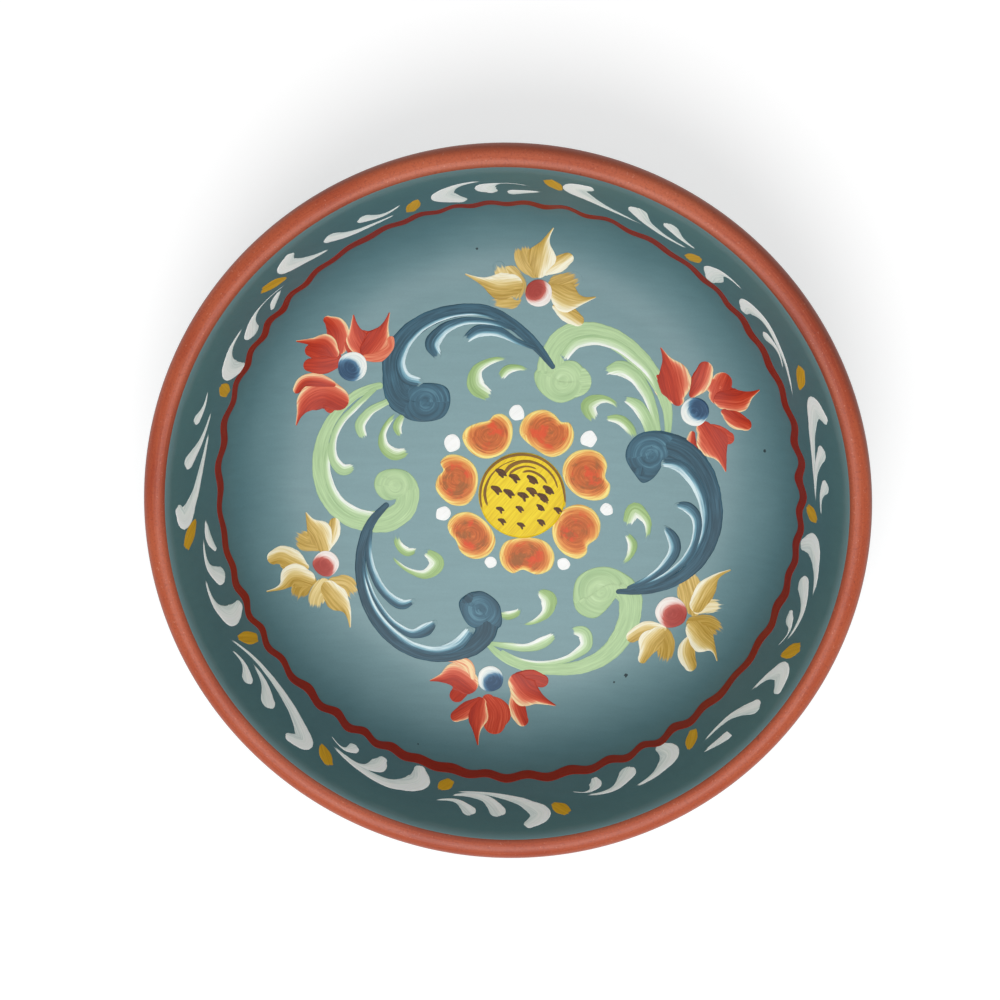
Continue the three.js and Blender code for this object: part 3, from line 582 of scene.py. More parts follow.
def blob(solid, slot, outline, loads=(1, 0.3), layer=0, height=STROKE_HEIGHT, lit=None, sweep=None, rim=0.97,
         wets=(0.75, 1), grain=1):
    """A filled patch of paint inside a closed outline. loads and wets are for its edge and its centre, or
    lit is the direction, in degrees, from which the light colour comes. The brush runs round, with marks as
    fine as grain says, or straight along sweep, in degrees too."""
    number = next(stroke_numbers)
    outline = np.asarray(outline, float)
    closed = np.concatenate([outline[-2:], outline, outline[:3]])
    knots = lengths(closed, 0.5)
    count = max(24, 6 * len(outline))
    edge = through(knots, closed, np.linspace(knots[2], knots[-3], count, endpoint=False))
    middle = edge.mean(axis=0)
    xy = middle + (edge - middle) * RINGS[:, None, None]
    reach, angle = on_floor(xy[..., 0], xy[..., 1])
    lift = COAT + (layer * LAYER + height * RING_RISE)[:, None]
    lift[0] = COAT - EDGE_DEPTH
    size = np.hypot(*(edge - middle).T)

    if lit is None:
        load = loads[1] + (loads[0] - loads[1]) * soft(RINGS, 0.5, rim)[:, None]
    else:
        away = np.linalg.norm(xy - middle + 0.5 * size.mean() * direction(lit), axis=-1)
        load = soft(away / size.mean(), 0.5, 1.2)
    wet = wets[1] + (wets[0] - wets[1]) * soft(RINGS, 0.3, 1)[:, None]
    if sweep is None:
        around = np.linspace(0, 2 * np.pi, count, endpoint=False)
        along, across = grain * size.mean() * around, grain * RINGS[:, None] * size
    else:
        along, across = xy @ direction(sweep), xy @ left_of(direction(sweep))
    brush = np.stack(np.broadcast_arrays(along, across, BRUSH_STEP * number), axis=-1)

    def with_ends(value):
        """Values on the rings, and the inner ring's mean for the middle of the top and the underside."""
        value = np.broadcast_to(value, reach.shape)
        return np.append(value, [value[-1].mean()] * 2)

    ends = [inside_place(*on_floor(*middle), end) for end in (COAT + layer * LAYER + height, UNDERSIDE)]
    points = np.concatenate([inside_place(reach, angle, lift).reshape(-1, 3), ends])
    rows = len(RINGS)
    inner, n = (rows - 1) * count, rows * count
    faces = grid_faces(rows, count)
    faces += [[inner + i, inner + (i + 1) % count, n] for i in range(count)]
    faces += [[(i + 1) % count, i, n + 1] for i in range(count)]
    following = np.roll(edge, -1, axis=0)
    if np.sum(edge[:, 0] * following[:, 1] - edge[:, 1] * following[:, 0]) < 0:
        faces = [face[::-1] for face in faces]
    brush = np.concatenate([brush.reshape(-1, 3), [brush[-1].mean(axis=0)] * 2])
    solid.add(points, faces, slot, with_ends(reach), with_ends(load), with_ends(wet), brush)


def circle(x, y, radius, wobble=0.0):
    """The outline of a spot, at ten points and with its radius uneven by up to a share."""
    a = np.linspace(0, 2 * np.pi, 10, endpoint=False)
    r = radius * (1 + wobble * rng.uniform(-1, 1, len(a)))
    return np.stack([x + r * np.cos(a), y + r * np.sin(a)], axis=1)


def dress(solid, name, paints):
    """Make the motif's mesh and let it stand in for the CAD node of that name, where there is one."""
    piece = solid.piece(name + "_strokes", [PAINTS[paint] for paint in paints])
    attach(piece, "root")
    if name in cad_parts:
        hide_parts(name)


# Scrolls: paint, outline of the head, then strokes as light side, glow and points from head to tail
SCROLLS = {
    "blue_scroll_1": ("blue", [(-22.5, 33), (-24, 38), (-33, 39.5), (-42, 36), (-40, 27), (-33, 25),
        (-25, 27)], [
        (0, 0.15, (-34, 32, 7), (-41, 35, 6), (-43.5, 42, 4.4), (-43.5, 49, 4), (-39, 57, 3.4),
         (-31, 63, 2.9), (-20, 66.5, 2.4), (-9, 66.5, 2.1), (2, 60.5, 2.1), (10, 53, 1.8), (15.5, 46, 1)),
        (-1, 0.9, (-34.5, 40, 1.8), (-39, 41.5, 2.2), (-41, 46, 1.9), (-39.3, 52, 1.3), (-33.7, 59, 1),
         (-25, 63.7, 0.8), (-14, 65.4, 0.6), (-4, 63.5, 0.3)),
        (-1, 0.5, (-27.5, 50.5, 1.8), (-29, 53.5, 2.8), (-25.5, 59, 2.3), (-18, 62.5, 1.5), (-9, 62.5, 1.1),
         (1, 60, 0.8)),
        (-1, 0.5, (-16, 56.5, 1.6), (-12, 59, 2.3), (-5, 59, 2), (2, 55.5, 1.1), (8.5, 53, 0.8)),
    ]),
    "green_scroll_1": ("sage", [(9, 44), (10, 38), (15, 33.5), (19, 32.5), (25, 35), (30, 40), (28, 44),
        (24, 48), (17, 47.5)], [
        (0, 0.3, (24, 40.5, 6), (17, 41, 7), (15.5, 50, 4.5), (21, 57, 4.6), (29, 58.5, 4.2),
         (38, 56.3, 3.8), (46, 50.5, 3.6), (52, 44, 3), (56.5, 36, 2.3), (58.5, 28, 1.7), (58.5, 22, 1.2)),
        (-1, 0.95, (20, 49.8, 1.8), (23.5, 54.2, 2.1), (31, 56, 2), (39, 54, 1.9), (46, 49, 1.7),
         (52, 42.7, 1.3), (55.3, 36, 0.7)),
        (-1, 0.45, (36, 44.5, 1.5), (40, 45.5, 2.9), (45, 43.5, 2.8), (49.5, 38, 2.3), (53, 30, 1.6),
         (55, 22.5, 0.9)),
        (-1, 0.5, (42.5, 34, 1), (46.5, 32, 2.2), (50.5, 26.5, 2.3), (52.5, 21.5, 2.2)),
    ]),
    "blue_scroll_2": ("blue", [(43, 12), (44, 17), (48, 21), (55, 22.3), (62, 20), (60, 13), (57, 11),
        (56, 8), (53, 4), (49.5, 2.5), (47, 5)], [
        (0, 0.1, (50, 11, 6), (52, 16, 6), (58, 16.5, 5.3), (64.5, 14, 5), (71, 7, 4.6), (75, -3, 4),
         (76, -12, 3.6), (74, -21, 3.2), (69.5, -29, 2.6), (62, -35, 2.2), (52, -38.5, 1.8), (41, -39.5, 1)),
        (-1, 0.8, (57, 10, 1.3), (62.3, 9.3, 2.2), (68, 4.2, 2.3), (71.8, -3, 2), (73, -11, 1.5),
         (71.8, -19, 0.9), (66.5, -28.5, 0.5)),
        (-1, 0.4, (62.5, -6, 1), (66, -6.5, 2), (69.5, -10, 2), (70, -17, 1.6), (66.5, -26, 1.5),
         (59, -33, 1.3), (48, -38, 0.9)),
        (-1, 0.4, (58, -14.5, 0.8), (60.5, -17.5, 2), (62, -22, 2.3), (59, -28.5, 2), (53, -34, 1.4),
         (45, -38, 0.9)),
    ]),
    "green_scroll_2": ("sage", [(24, -44), (25, -35), (30, -31), (37, -30), (44, -33), (47, -36), (40, -42),
        (37, -46), (32, -50), (26, -48)], [
        (0, 0.25, (32, -40, 7), (39, -36.5, 5), (44.5, -40, 4.8), (45.5, -48, 4.3), (43, -56, 4),
         (37, -64, 3.4), (28, -69, 2.8), (16, -70.5, 2.2), (4, -69, 1.8), (-4, -65, 1.5), (-8, -61.5, 1)),
        (-1, 0.75, (24, -55, 1.4), (28, -56, 2.6), (29, -60, 2.4), (24, -65, 1.6), (14, -68, 1),
         (4, -67, 0.8), (-3, -63.5, 0.5)),
        (-1, 0.75, (16.5, -57, 1.2), (13, -59.5, 2.2), (6, -62, 1.6), (0, -61.5, 1.4), (-7, -60.5, 0.8)),
    ]),
    "blue_scroll_3": ("blue", [(-19.5, -44), (-16, -41), (-11, -40), (-5, -44), (-3.5, -48), (-4, -54),
        (-15, -54), (-19, -48)], [
        (0, 0.05, (-13, -46, 6), (-9.5, -50, 5.3), (-9.5, -56, 4.2), (-14, -61.5, 3.6), (-21, -64.7, 2.8),
         (-30, -65.5, 2.5), (-40, -62.5, 2.5), (-48.5, -55.5, 2.5), (-54.5, -45.5, 2.3), (-57, -35, 2.1),
         (-56.5, -24, 2), (-53, -14, 1.8), (-47, -7, 1.1)),
        (-1, 0.95, (-16, -56.3, 2), (-19.8, -60.7, 2.5), (-27, -63.6, 1.9), (-36, -62.2, 1.5),
         (-45, -56.3, 1.3), (-51.9, -47.4, 1), (-55.3, -38, 0.8), (-55.8, -27, 0.4)),
        (-1, 0.5, (-29, -52.5, 1), (-32, -55, 2.5), (-37, -57, 1.9), (-44, -53.5, 1.3), (-50, -46.5, 1),
         (-54.5, -36, 0.7), (-56, -28, 0.5)),
        (-1, 0.6, (-37, -44, 0.8), (-41, -45.5, 2), (-47, -42, 1.8), (-52, -34, 1.6), (-54, -25, 1.3),
         (-53, -17, 0.7)),
    ]),
    "green_scroll_3": ("sage", [(-51.5, 1), (-50, 5), (-45, 7), (-39, 6), (-35, 1), (-36, -4), (-42, -4.5),
        (-47, -5), (-50, -3)], [
        (0, 0.25, (-44, 2.5, 4.5), (-39.5, 0, 4.5), (-39.5, -7, 4.3), (-46, -12.7, 4.4), (-54, -13.2, 4.2),
         (-62, -10.7, 4), (-68.5, -4, 3.8), (-71.5, 5, 3.3), (-71.5, 14, 2.7), (-69, 22, 2.2),
         (-64, 29.5, 1.8), (-57, 35.5, 1.6), (-49, 38.5, 1.3)),
        (-1, 0.9, (-51, -11.2, 1.5), (-59, -9.7, 2), (-65, -5.2, 1.8), (-68.5, 2, 1.5), (-69.3, 10, 1.2),
         (-67, 18, 0.7)),
        (-1, 0.55, (-59.5, 7.5, 1.4), (-63, 6.5, 2.3), (-66.2, 9.5, 2), (-67, 16, 1.4), (-64, 24, 1.3),
         (-58, 30.5, 1.2), (-51, 37, 0.9)),
        (-1, 0.35, (-55.5, 19.5, 1.6), (-56.5, 23, 2), (-53.5, 28, 1.7), (-47, 32, 1.2), (-42, 34, 0.8)),
    ]),
}

# Small olive curls inside the scrolls, from head to tail
CURLS = [
    [(-9, 35.5, 2.4), (-13, 39, 3.4), (-12.5, 44.5, 2.1), (-7, 48, 1.2), (0, 49, 0.5)],
    [(-3.5, 42, 1.4), (-1.5, 44.5, 1.8), (3, 45.5, 1.1), (8, 44, 0.4)],
    [(30.5, 27.5, 2.2), (29, 31.3, 3.1), (34, 34, 1.6), (38, 32.8, 0.9), (41, 29.5, 0.4)],
    [(35.5, 26.5, 0.8), (40, 26.5, 1.8), (44, 23.5, 2), (46.5, 19, 1.5)],
    [(44.5, -12, 2.2), (46.5, -8, 3), (51, -11.5, 1.8), (51.8, -17, 0.9), (50.5, -20.5, 0.4)],
    [(43.5, -17, 0.8), (46, -21, 1.9), (45, -25.5, 1.3), (41.5, -29.5, 0.4)],
    [(11, -40, 1.4), (14.5, -43, 3.2), (14, -47.5, 2.2), (9.5, -51.5, 1), (3, -53, 0.3)],
    [(4, -46.5, 0.5), (2, -48.5, 1.5), (-3, -49.5, 1.6), (-6, -48.5, 1)],
    [(-31.5, -25.5, 1.8), (-28, -29, 3), (-32, -33.5, 2), (-38, -32.5, 1), (-43, -29, 0.6), (-46, -25, 0.3)],
    [(-35.5, -24, 0.8), (-39, -25, 1.8), (-42.5, -22, 1.5), (-43.5, -17, 0.7)],
    [(-39.5, 13.5, 1.6), (-43, 12.5, 2.4), (-47.5, 15.5, 2.1), (-48, 20, 1.4), (-45.5, 25, 1),
     (-42, 28.5, 0.6)],
    [(-41, 19, 0.6), (-42.5, 23, 1.7), (-40.5, 27, 1.2), (-38, 29.5, 0.7)],
]

# Flower in the middle: its disc as centre and radius, petals, contours with half widths, seeds and dots
DISC = (4.3, -2.7, 16.4)
PETALS = {
    "petal_1": [(-18.1, 19.1), (-16.6, 22.6), (-11.8, 24.8), (-8.3, 25.6), (-6, 27.8), (-2.8, 28),
                (0.3, 24.8), (0.4, 18.5), (-2.6, 13.5), (-9.5, 11.2), (-15, 13.6)],
    "petal_2": [(3.4, 20.8), (4.2, 25.4), (7.6, 28.7), (12.6, 29.8), (16.4, 28), (18.9, 25.3), (21.8, 25),
                (23.6, 21.5), (22.9, 17), (19.5, 13.3), (15, 12), (9.5, 14.9)],
    "petal_3": [(19.5, 5.5), (20.4, 10.5), (24, 14), (29.2, 15), (33.8, 13.4), (36.1, 9.3), (35.5, 4.5),
                (37.3, 1.6), (36.4, -2.7), (32.2, -4.4), (26.2, -3.2), (21.6, 0.6)],
    "petal_4": [(17.2, -11.2), (20.8, -7.4), (26, -6), (31, -8), (33.8, -12.8), (32.8, -18.6), (29.2, -21.8),
                (28.7, -24.8), (25.6, -26.9), (20.2, -25), (16.6, -20.4), (15.7, -15.5)],
    "petal_5": [(-4.2, -25.6), (-2.2, -20.9), (3, -19.1), (9, -19), (14, -21), (16.6, -25.8), (15.2, -31),
                (10, -33.2), (4.6, -31.4), (0.8, -32.8), (-3, -30)],
    "petal_6": [(-23.8, -14), (-20.8, -10.3), (-15.8, -9.3), (-11.2, -11.4), (-7.2, -15.8), (-5.7, -21),
                (-8.4, -25.8), (-13.6, -27.4), (-18.6, -25), (-20.8, -20.2), (-23, -17.6)],
    "petal_7": [(-28.3, 0.2), (-27.3, 4.2), (-25.3, 6.6), (-26.4, 9.6), (-23.6, 12.4), (-18.6, 12.2),
                (-14, 9), (-12.3, 4.6), (-13.2, -1.8), (-16.6, -6.4), (-22, -6.6), (-26.6, -3.2)],
}
CONTOURS = [
    [(-10.5, -9, 0.3), (-11.4, -2, 0.45), (-9.2, 5.5, 0.5), (-3.5, 10.9, 0.55), (4, 12.9, 0.6),
     (12, 11, 0.5), (18, 5, 0.45), (20.3, -2.5, 0.4), (20.5, -7, 0.2)],
    [(-8.2, -8, 0.3), (-9.7, -2, 0.6), (-7.5, 4.5, 0.35), (-3, 8.8, 0.2), (3, 11, 0.2)],
    [(-3, 4, 0.5), (-0.5, 8, 0.8), (5, 10.3, 0.65), (11, 9, 0.5), (16, 4.5, 0.4), (18, -1, 0.2)],
    [(-1.5, 4.5, 0.3), (1.5, 7, 0.5), (6, 8.4, 0.35), (11, 6.8, 0.25)],
    [(3, 5.6, 0.4), (7, 6.6, 0.45), (12, 4.2, 0.5), (14.5, 0.5, 0.3)],
    [(9.5, -1.5, 0.4), (12.5, -3.5, 0.55), (14.5, -7.5, 0.35)],
]
SEEDS = [(-3.3, 6), (1.8, 4.2), (8.5, 3.4), (-5, -0.5), (-0.3, -1.8), (5, -2.7), (8.3, -1), (12.5, -3.3),
         (14.5, -0.5), (-3.7, -8), (3.7, -7.7), (11.5, -7.3), (18, -8), (-3, -12.5), (4.2, -14),
         (11.8, -12.7)]
DOTS = [(-22, 17, 3.2), (2.3, 28.5, 3), (29.2, 19, 3.1), (36.2, -7.8, 2.4), (20, -29, 2.4),
        (-7.5, -28.7, 2.2), (-25.5, -10, 2.8)]

# Sprays: a bud as (x, y, radius, direction of its white side), then three blossoms of lobes from base to tip
SPRAYS = {
    "red_spray_1": ("red", "bud_blue", (-59, 45.5, 5.6, 40), [
        [(0, 0.3, (-56.5, 54, 4.4), (-51, 53.5, 4.4)),
         (1, 0.2, (-54.5, 52, 3), (-57, 56, 3.8), (-58, 60, 2.6), (-58.3, 65, 0.3)),
         (-1, 0.35, (-52, 52, 3.5), (-49, 56, 4), (-47, 60, 2.4), (-45, 65.5, 0.3)),
         (0, 0.72, (-54, 49, 1), (-48, 49.7, 1.8), (-44, 53.5, 1.8), (-44.5, 56, 0.8))],
        [(1, 0.22, (-68, 64, 1.4), (-65.5, 61.5, 3.1), (-63.7, 57, 3.4), (-64, 51.5, 1.2)),
         (0, 0.15, (-66, 49, 2.4), (-70, 50.5, 2.8), (-76, 53, 0.6)),
         (-1, 0.4, (-66, 51, 1.8), (-69, 54.7, 3), (-74, 55.6, 2.2), (-80, 56.7, 0.3)),
         (0, 0.2, (-65.5, 47, 1.8), (-69.5, 46.3, 2.9), (-76.5, 46.5, 0.8))],
        [(0, 0.2, (-64.5, 33, 3.4), (-67, 31, 2.6)),
         (-1, 0.3, (-65, 33.5, 3.8), (-70, 35.2, 4.6), (-76, 32.5, 3.8), (-79, 28, 1.8), (-80.5, 23.7, 0.3)),
         (-1, 0.6, (-66.5, 39, 1), (-72, 40.5, 2.2), (-78, 40, 1.8), (-80.5, 36.5, 0.5))],
    ]),
    "red_spray_2": ("red", "bud_blue", (68.3, 29.5, 5.3, 215), [
        [(1, 0.3, (60.5, 34.5, 1.8), (56.5, 38, 2.8), (54.5, 42, 1)),
         (-1, 0.3, (62, 34, 2), (61, 38.5, 5.2), (59.5, 44.5, 4.4), (57.5, 49, 2.2), (55.5, 53, 0.3)),
         (-1, 0.45, (67.5, 36, 1.2), (70, 40, 3), (72, 45.5, 2.5))],
        [(1, 0.15, (77, 36, 3), (78.3, 40.5, 4.3), (79.5, 43.5, 1)),
         (-1, 0.22, (79, 34.3, 3), (85, 34.7, 3.8), (89.5, 37.3, 2), (93.5, 40, 0.3)),
         (-1, 0.25, (79.5, 29.5, 1.2), (83, 27.3, 2.8), (87.5, 25.5, 2))],
        [(0, 0.3, (73, 22, 2.5), (78, 20.8, 2.8), (82.5, 19.3, 0.6)),
         (-1, 0.25, (72, 23, 2.5), (75.5, 17.5, 5.2), (78.5, 12.5, 3), (80.3, 7.3, 0.3)),
         (-1, 0.6, (67.5, 21, 1), (67.5, 15, 2.2), (70, 11, 2.4))],
    ]),
    "red_spray_3": ("red", "bud_blue", (-7.6, -74.6, 5, 130), [
        [(0, 0.15, (-17.5, -77.5, 2.6), (-20.5, -81, 2.4)),
         (-1, 0.4, (-17, -76, 4), (-21.5, -73.5, 4.4), (-26.5, -74.5, 2.4), (-30.7, -75.5, 0.3)),
         (0, 0.9, (-14.3, -74, 0.8), (-16.3, -69.3, 1.7), (-20.5, -67, 1.5), (-25, -66.3, 0.5))],
        [(1, 0.2, (-12, -83.5, 1.5), (-17, -87, 2.6), (-20.8, -89.3, 1.8)),
         (0, 0.35, (-8.5, -83, 2), (-5.5, -88, 4.8), (-6, -92.5, 3)),
         (1, 0.25, (-11, -84, 1.5), (-12.3, -89.5, 3.3), (-12.8, -95, 2), (-12.3, -100.5, 0.3))],
        [(-1, 0.5, (1.5, -81, 1.2), (2.7, -86, 2.7), (4.7, -90.5, 2)),
         (0, 0.15, (4, -75, 3), (9, -74.3, 3), (13, -75.3, 1.3)),
         (-1, 0.4, (3, -76, 3.2), (6, -79.5, 5), (11, -82, 3.2), (17.3, -84.5, 0.3))],
    ]),
    "ochre_spray_1": ("ochre", "bud_red", (10.3, 73, 5, 315), [
        [(0, 0.25, (0, 71, 3.2), (-5, 70.5, 2.4)),
         (0, 0.3, (0, 80, 2.8), (3, 76, 2.4), (1.5, 71, 1.8)),
         (0, 0.5, (-2.5, 78, 2.5), (-4.5, 83.5, 1.2)),
         (-1, 0.55, (0, 76, 3.6), (-4, 75.7, 4.3), (-10, 77.3, 2.3), (-16.5, 80, 0.3))],
        [(0, 0.2, (8.5, 81, 2), (5.5, 85, 3.2), (4, 90.5, 1.6)),
         (-1, 1, (13, 81, 1.2), (17.5, 84, 2.6), (21, 86.5, 1.8)),
         (-1, 0.7, (10.5, 81.5, 2.3), (11.5, 87, 4.6), (13, 93, 2.2), (16, 99.5, 0.3))],
        [(0, 0.12, (18, 76, 3.6), (23, 78, 2.8)),
         (-1, 0.6, (16.5, 68, 1), (21, 65.5, 2.6), (25, 63, 1.6)),
         (-1, 0.3, (16.5, 73.5, 2.6), (21, 71.3, 4.8), (25.5, 70.5, 2.7), (31, 71.7, 0.3))],
    ]),
    "ochre_spray_2": ("ochre", "bud_red", (61, -47.3, 6, 135), [
        [(0, 0.25, (69.5, -45.5, 2.5), (68.5, -39.5, 4.6), (67, -34, 2.2)),
         (0, 0.7, (71, -46, 1.5), (75, -44.5, 2.2), (79, -44, 2)),
         (1, 0.35, (71, -44, 2.6), (74.5, -37.5, 3), (78, -33, 1.6), (83, -30.3, 0.3))],
        [(0, 0.08, (70, -51.5, 2.6), (76, -51.5, 3), (80.5, -53.5, 1.2)),
         (-1, 0.6, (68.3, -57, 1), (67.3, -62, 2.9), (69.5, -67.5, 1.8)),
         (-1, 0.35, (70.5, -54, 3.2), (74, -57.5, 4.4), (78, -60.5, 1.8), (80.5, -65, 0.3))],
        [(0, 0.08, (58, -56.5, 3), (59.3, -61, 3), (58.7, -66, 1.5)),
         (-1, 0.55, (57.5, -54, 1.5), (52, -54, 2.6), (46.5, -57, 2)),
         (-1, 0.45, (56, -56, 2.5), (53.3, -59, 3.8), (51.5, -63.5, 2), (50, -66.7, 0.5))],
    ]),
    "ochre_spray_3": ("ochre", "bud_red", (-70.3, -29.9, 5, 50), [
        [(0, 0.15, (-74, -22, 2.6), (-78, -21, 3.3), (-82, -18.7, 0.8)),
         (-1, 0.6, (-69, -23, 1), (-67.5, -18, 2.3), (-66.7, -14, 1.6)),
         (-1, 0.35, (-71, -22.5, 2.6), (-73, -17.5, 4.2), (-76, -13.5, 2.3), (-77.5, -10.3, 0.3))],
        [(0, 0.08, (-77, -37, 2.5), (-80.5, -40, 3), (-82, -43.5, 1)),
         (-1, 0.5, (-78, -31, 1), (-83, -28.5, 3.6), (-88, -26.3, 3), (-91.5, -27, 1.4)),
         (-1, 0.55, (-78, -35.5, 2.8), (-83.5, -34.5, 4), (-87.5, -38, 2), (-94, -39.7, 0.3))],
        [(0, 0.25, (-67, -38, 2.6), (-63, -38.7, 3.6), (-60, -42, 1.3)),
         (0, 0.5, (-71.5, -38.5, 2.5), (-74, -42.5, 3), (-75, -47, 1.2)),
         (1, 0.4, (-69, -40, 3), (-66, -44, 3.8), (-62.7, -48, 2.3), (-61.5, -54.5, 0.3))],
    ]),
}

# The border on the wall, in degrees round and mm up. A comma is a half width in mm, then its head, its outer
# edge and its tip, and a leaf is its base and tip.
COMMAS = {
    "comma_1": [(3.9, (48.3, 2.5), (50.8, 9), (48.5, 15), (43, 16.5)),
                (3.4, (39.8, 5.5), (42, 10.5), (38, 15.8), (30, 13.2), (20.8, 5)),
                (2.2, (32.9, 6.3), (34.3, 9.5), (31, 11), (26.3, 6.5))],
    "comma_2": [(4, (98.7, 6.5), (103.6, 13.4), (100, 21), (93.6, 22.8)),
                (3.8, (92.8, 12.8), (95.7, 16.5), (92.5, 20.2), (84.2, 16.3)),
                (2, (88, 10), (89.2, 13), (83.1, 13.1))],
    "comma_3": [(3.9, (153.7, 2.7), (156.4, 10.5), (152, 16.5), (145, 16)),
                (3.4, (146, 7), (147.7, 11), (143.9, 14.8), (133.4, 10)),
                (1.5, (140.3, 6.3), (139.5, 10), (136, 11.3))],
    "comma_4": [(3.8, (202.3, 3), (205, 10.5), (200.7, 16.7), (193.5, 16.2)),
                (3.3, (195, 4.7), (196.7, 9), (193, 13.7), (187, 12)),
                (1.6, (189.8, 6), (188.3, 9.9), (183.2, 8.9))],
    "comma_5": [(3.9, (252.3, 4), (254.8, 11), (249.5, 18.3), (240, 17), (234.5, 13)),
                (3.1, (244.7, 6.5), (245.9, 11.5), (242.6, 15.2), (236, 13)),
                (2.2, (239, 7), (239.6, 9.8), (237.5, 11.9), (233.3, 8.9))],
    "comma_6": [(3.9, (301.7, 5.2), (304.9, 12), (300, 18.3), (294.3, 19)),
                (3.3, (294.2, 8.5), (295.3, 12.5), (291.3, 16.8), (284.8, 14.6)),
                (2.3, (287.3, 7.7), (288.5, 11.5), (286.4, 13.8), (282.1, 10.6))],
    "comma_7": [(3.9, (352, 4.2), (354.8, 11.5), (349.4, 18), (344.1, 19.2)),
                (3.3, (345, 9.2), (346.3, 13.3), (341.6, 17.1), (333.7, 14.4)),
                (2.1, (339, 9.3), (338.7, 12), (336.8, 13.7), (332.1, 11))],
    "hook_1": [(3.7, (17, 24.5), (21, 19.5), (16, 11.5), (9, 8.8), (0.5, 10)),
               (2.6, (10, 17.5), (11.5, 15), (7, 10), (1.5, 9.8)),
               (2.4, (4, 18), (5.3, 15.5), (2.5, 13), (-1.5, 14.5))],
    "hook_2": [(3.7, (76, 24.7), (80, 20.9), (74, 11.7), (64.8, 9)),
               (3.4, (66.2, 20.5), (68.3, 18), (65, 11.5), (60, 8.7), (55.2, 11.5)),
               (2.8, (60.3, 21.5), (61.3, 18), (57.5, 14.8), (54, 15.6))],
    "hook_3": [(3.5, (130, 25.7), (133.5, 21.9), (129, 12.5), (124.2, 9.4)),
               (2.7, (122.6, 18), (124, 15.5), (120, 9.5), (115, 8), (110.5, 9.2)),
               (2.4, (115.2, 18), (117, 15.5), (113, 12), (108.6, 16.5))],
    "hook_4": [(3.7, (180.5, 25.5), (184, 22.5), (180, 14.5), (173, 10.2), (166, 10)),
               (2.6, (171.7, 20.5), (173, 18.3), (168.5, 13), (161.9, 11.6)),
               (2, (163.3, 20.5), (164.9, 18.5), (162, 16.8), (158.4, 18.8))],
    "hook_5": [(3.4, (227.3, 24.3), (231.6, 21.3), (227.5, 12.5), (220.5, 7.7), (213, 8.7), (205.8, 16.8)),
               (3, (219.8, 19), (221.2, 16.5), (217, 12), (212.7, 12.4)),
               (2.4, (213.9, 20), (215.1, 17.7), (212, 15.7), (207.7, 18.9))],
    "hook_6": [(3.5, (274.5, 26), (278.4, 21.6), (274.5, 13), (268.5, 9.3), (259.4, 10.9)),
               (2.8, (268.7, 19.8), (269.9, 17.5), (266.5, 11), (262, 10.8), (259.4, 13.4)),
               (2.4, (262.5, 21.3), (264.4, 18.8), (261, 14.9), (256.2, 18.1))],
    "hook_7": [(3.7, (327, 26), (331.5, 22.8), (328, 15.7), (322.6, 13.8)),
               (2.7, (321, 21.8), (322.5, 19.5), (316.9, 14), (309, 16.3)),
               (1.6, (313, 22.5), (314.4, 20.7), (308.3, 20.6))],
}
LEAVES = [(54, 4.5, 52.4, 12.5), (108, 7.5, 106, 16.5), (159, 5, 157.5, 12), (209.5, 2.5, 207, 12.5),
          (258.6, 6, 256.8, 12), (308.7, 7.7, 306.5, 15.5), (359, 4.7, 357.2, 12), (26.2, 20.8, 22.3, 12.5),
          (82.7, 25, 80.3, 16.7), (137.5, 21.5, 133.5, 14), (187, 23, 182.8, 15), (235.7, 22.5, 232.7, 15.8),
          (281.3, 21.7, 278.6, 15.5), (335, 23.5, 331.4, 15.8)]

# Specks of dirt in the ground coat: place and radius
FLECKS = [(-12.3, 90, 0.45), (95.5, 16.2, 0.6), (44.3, -72.3, 0.7), (39.8, -75, 0.4), (73.4, -15.6, 0.3),
          (-36, -101, 0.35)]


COMMA_FULLNESS = 1.12  # of a comma's drawn half width
COMMA_HEAD = 0.55
COMMA_TIP = 0.06
COMMA_TAPER = 1.25
HEAD_ROOM = 0.85  # a head point nearer to the next than this share of the width is left out

LOBE_FULLNESS = 1.22
LOBE_TIP = 0.3  # half width of a pointed end
BROAD_END = 0.75
FLAME_NECK = 0.62  # how a pointed end draws in before its tip


def comma(solid, width, points):
    """A comma stroke of the border, from its head along its outer edge to its tip."""
    width = COMMA_FULLNESS * width
    edge = np.array(points, float)
    edge[:, 0] = np.radians(edge[:, 0]) * MID_WALL_RADIUS
    to_tip = 1 - np.arange(len(edge) - 1) / (len(edge) - 2)
    halves = width * np.append(COMMA_HEAD, COMMA_TIP + (1 - COMMA_TIP) * to_tip**COMMA_TAPER)
    first, second = edge[1] - edge[0], edge[2] - edge[1]
    turn = np.sign(first[0] * second[1] - first[1] * second[0])
    middle = edge.copy()
    middle[1:-1] += turn * left_of(unit(edge[2:] - edge[:-2])) * halves[1:-1, None]
    if np.hypot(*(middle[1] - middle[0])) < HEAD_ROOM * width:
        middle, halves = middle[1:], halves[1:]
    run = 0.5 * np.hypot(*(edge[-1] - edge[-2]))
    stroke = np.column_stack([middle, halves])
    ribbon(solid, 0, stroke, on_wall, light=int(-turn), glow=0.95, dry=(0.5, run), feather=0.15)


def leaf(solid, x, y, tip_x, tip_y):
    """A leaf of the border, fullest at two fifths of its length."""
    x, tip_x = np.radians([x, tip_x]) * MID_WALL_RADIUS
    points = [(x, y, 1.9), (0.6 * x + 0.4 * tip_x, 0.6 * y + 0.4 * tip_y, 2.7), (tip_x, tip_y, 0.3)]
    ribbon(solid, 0, points, on_wall, glow=0.5, dry=(2, 2))


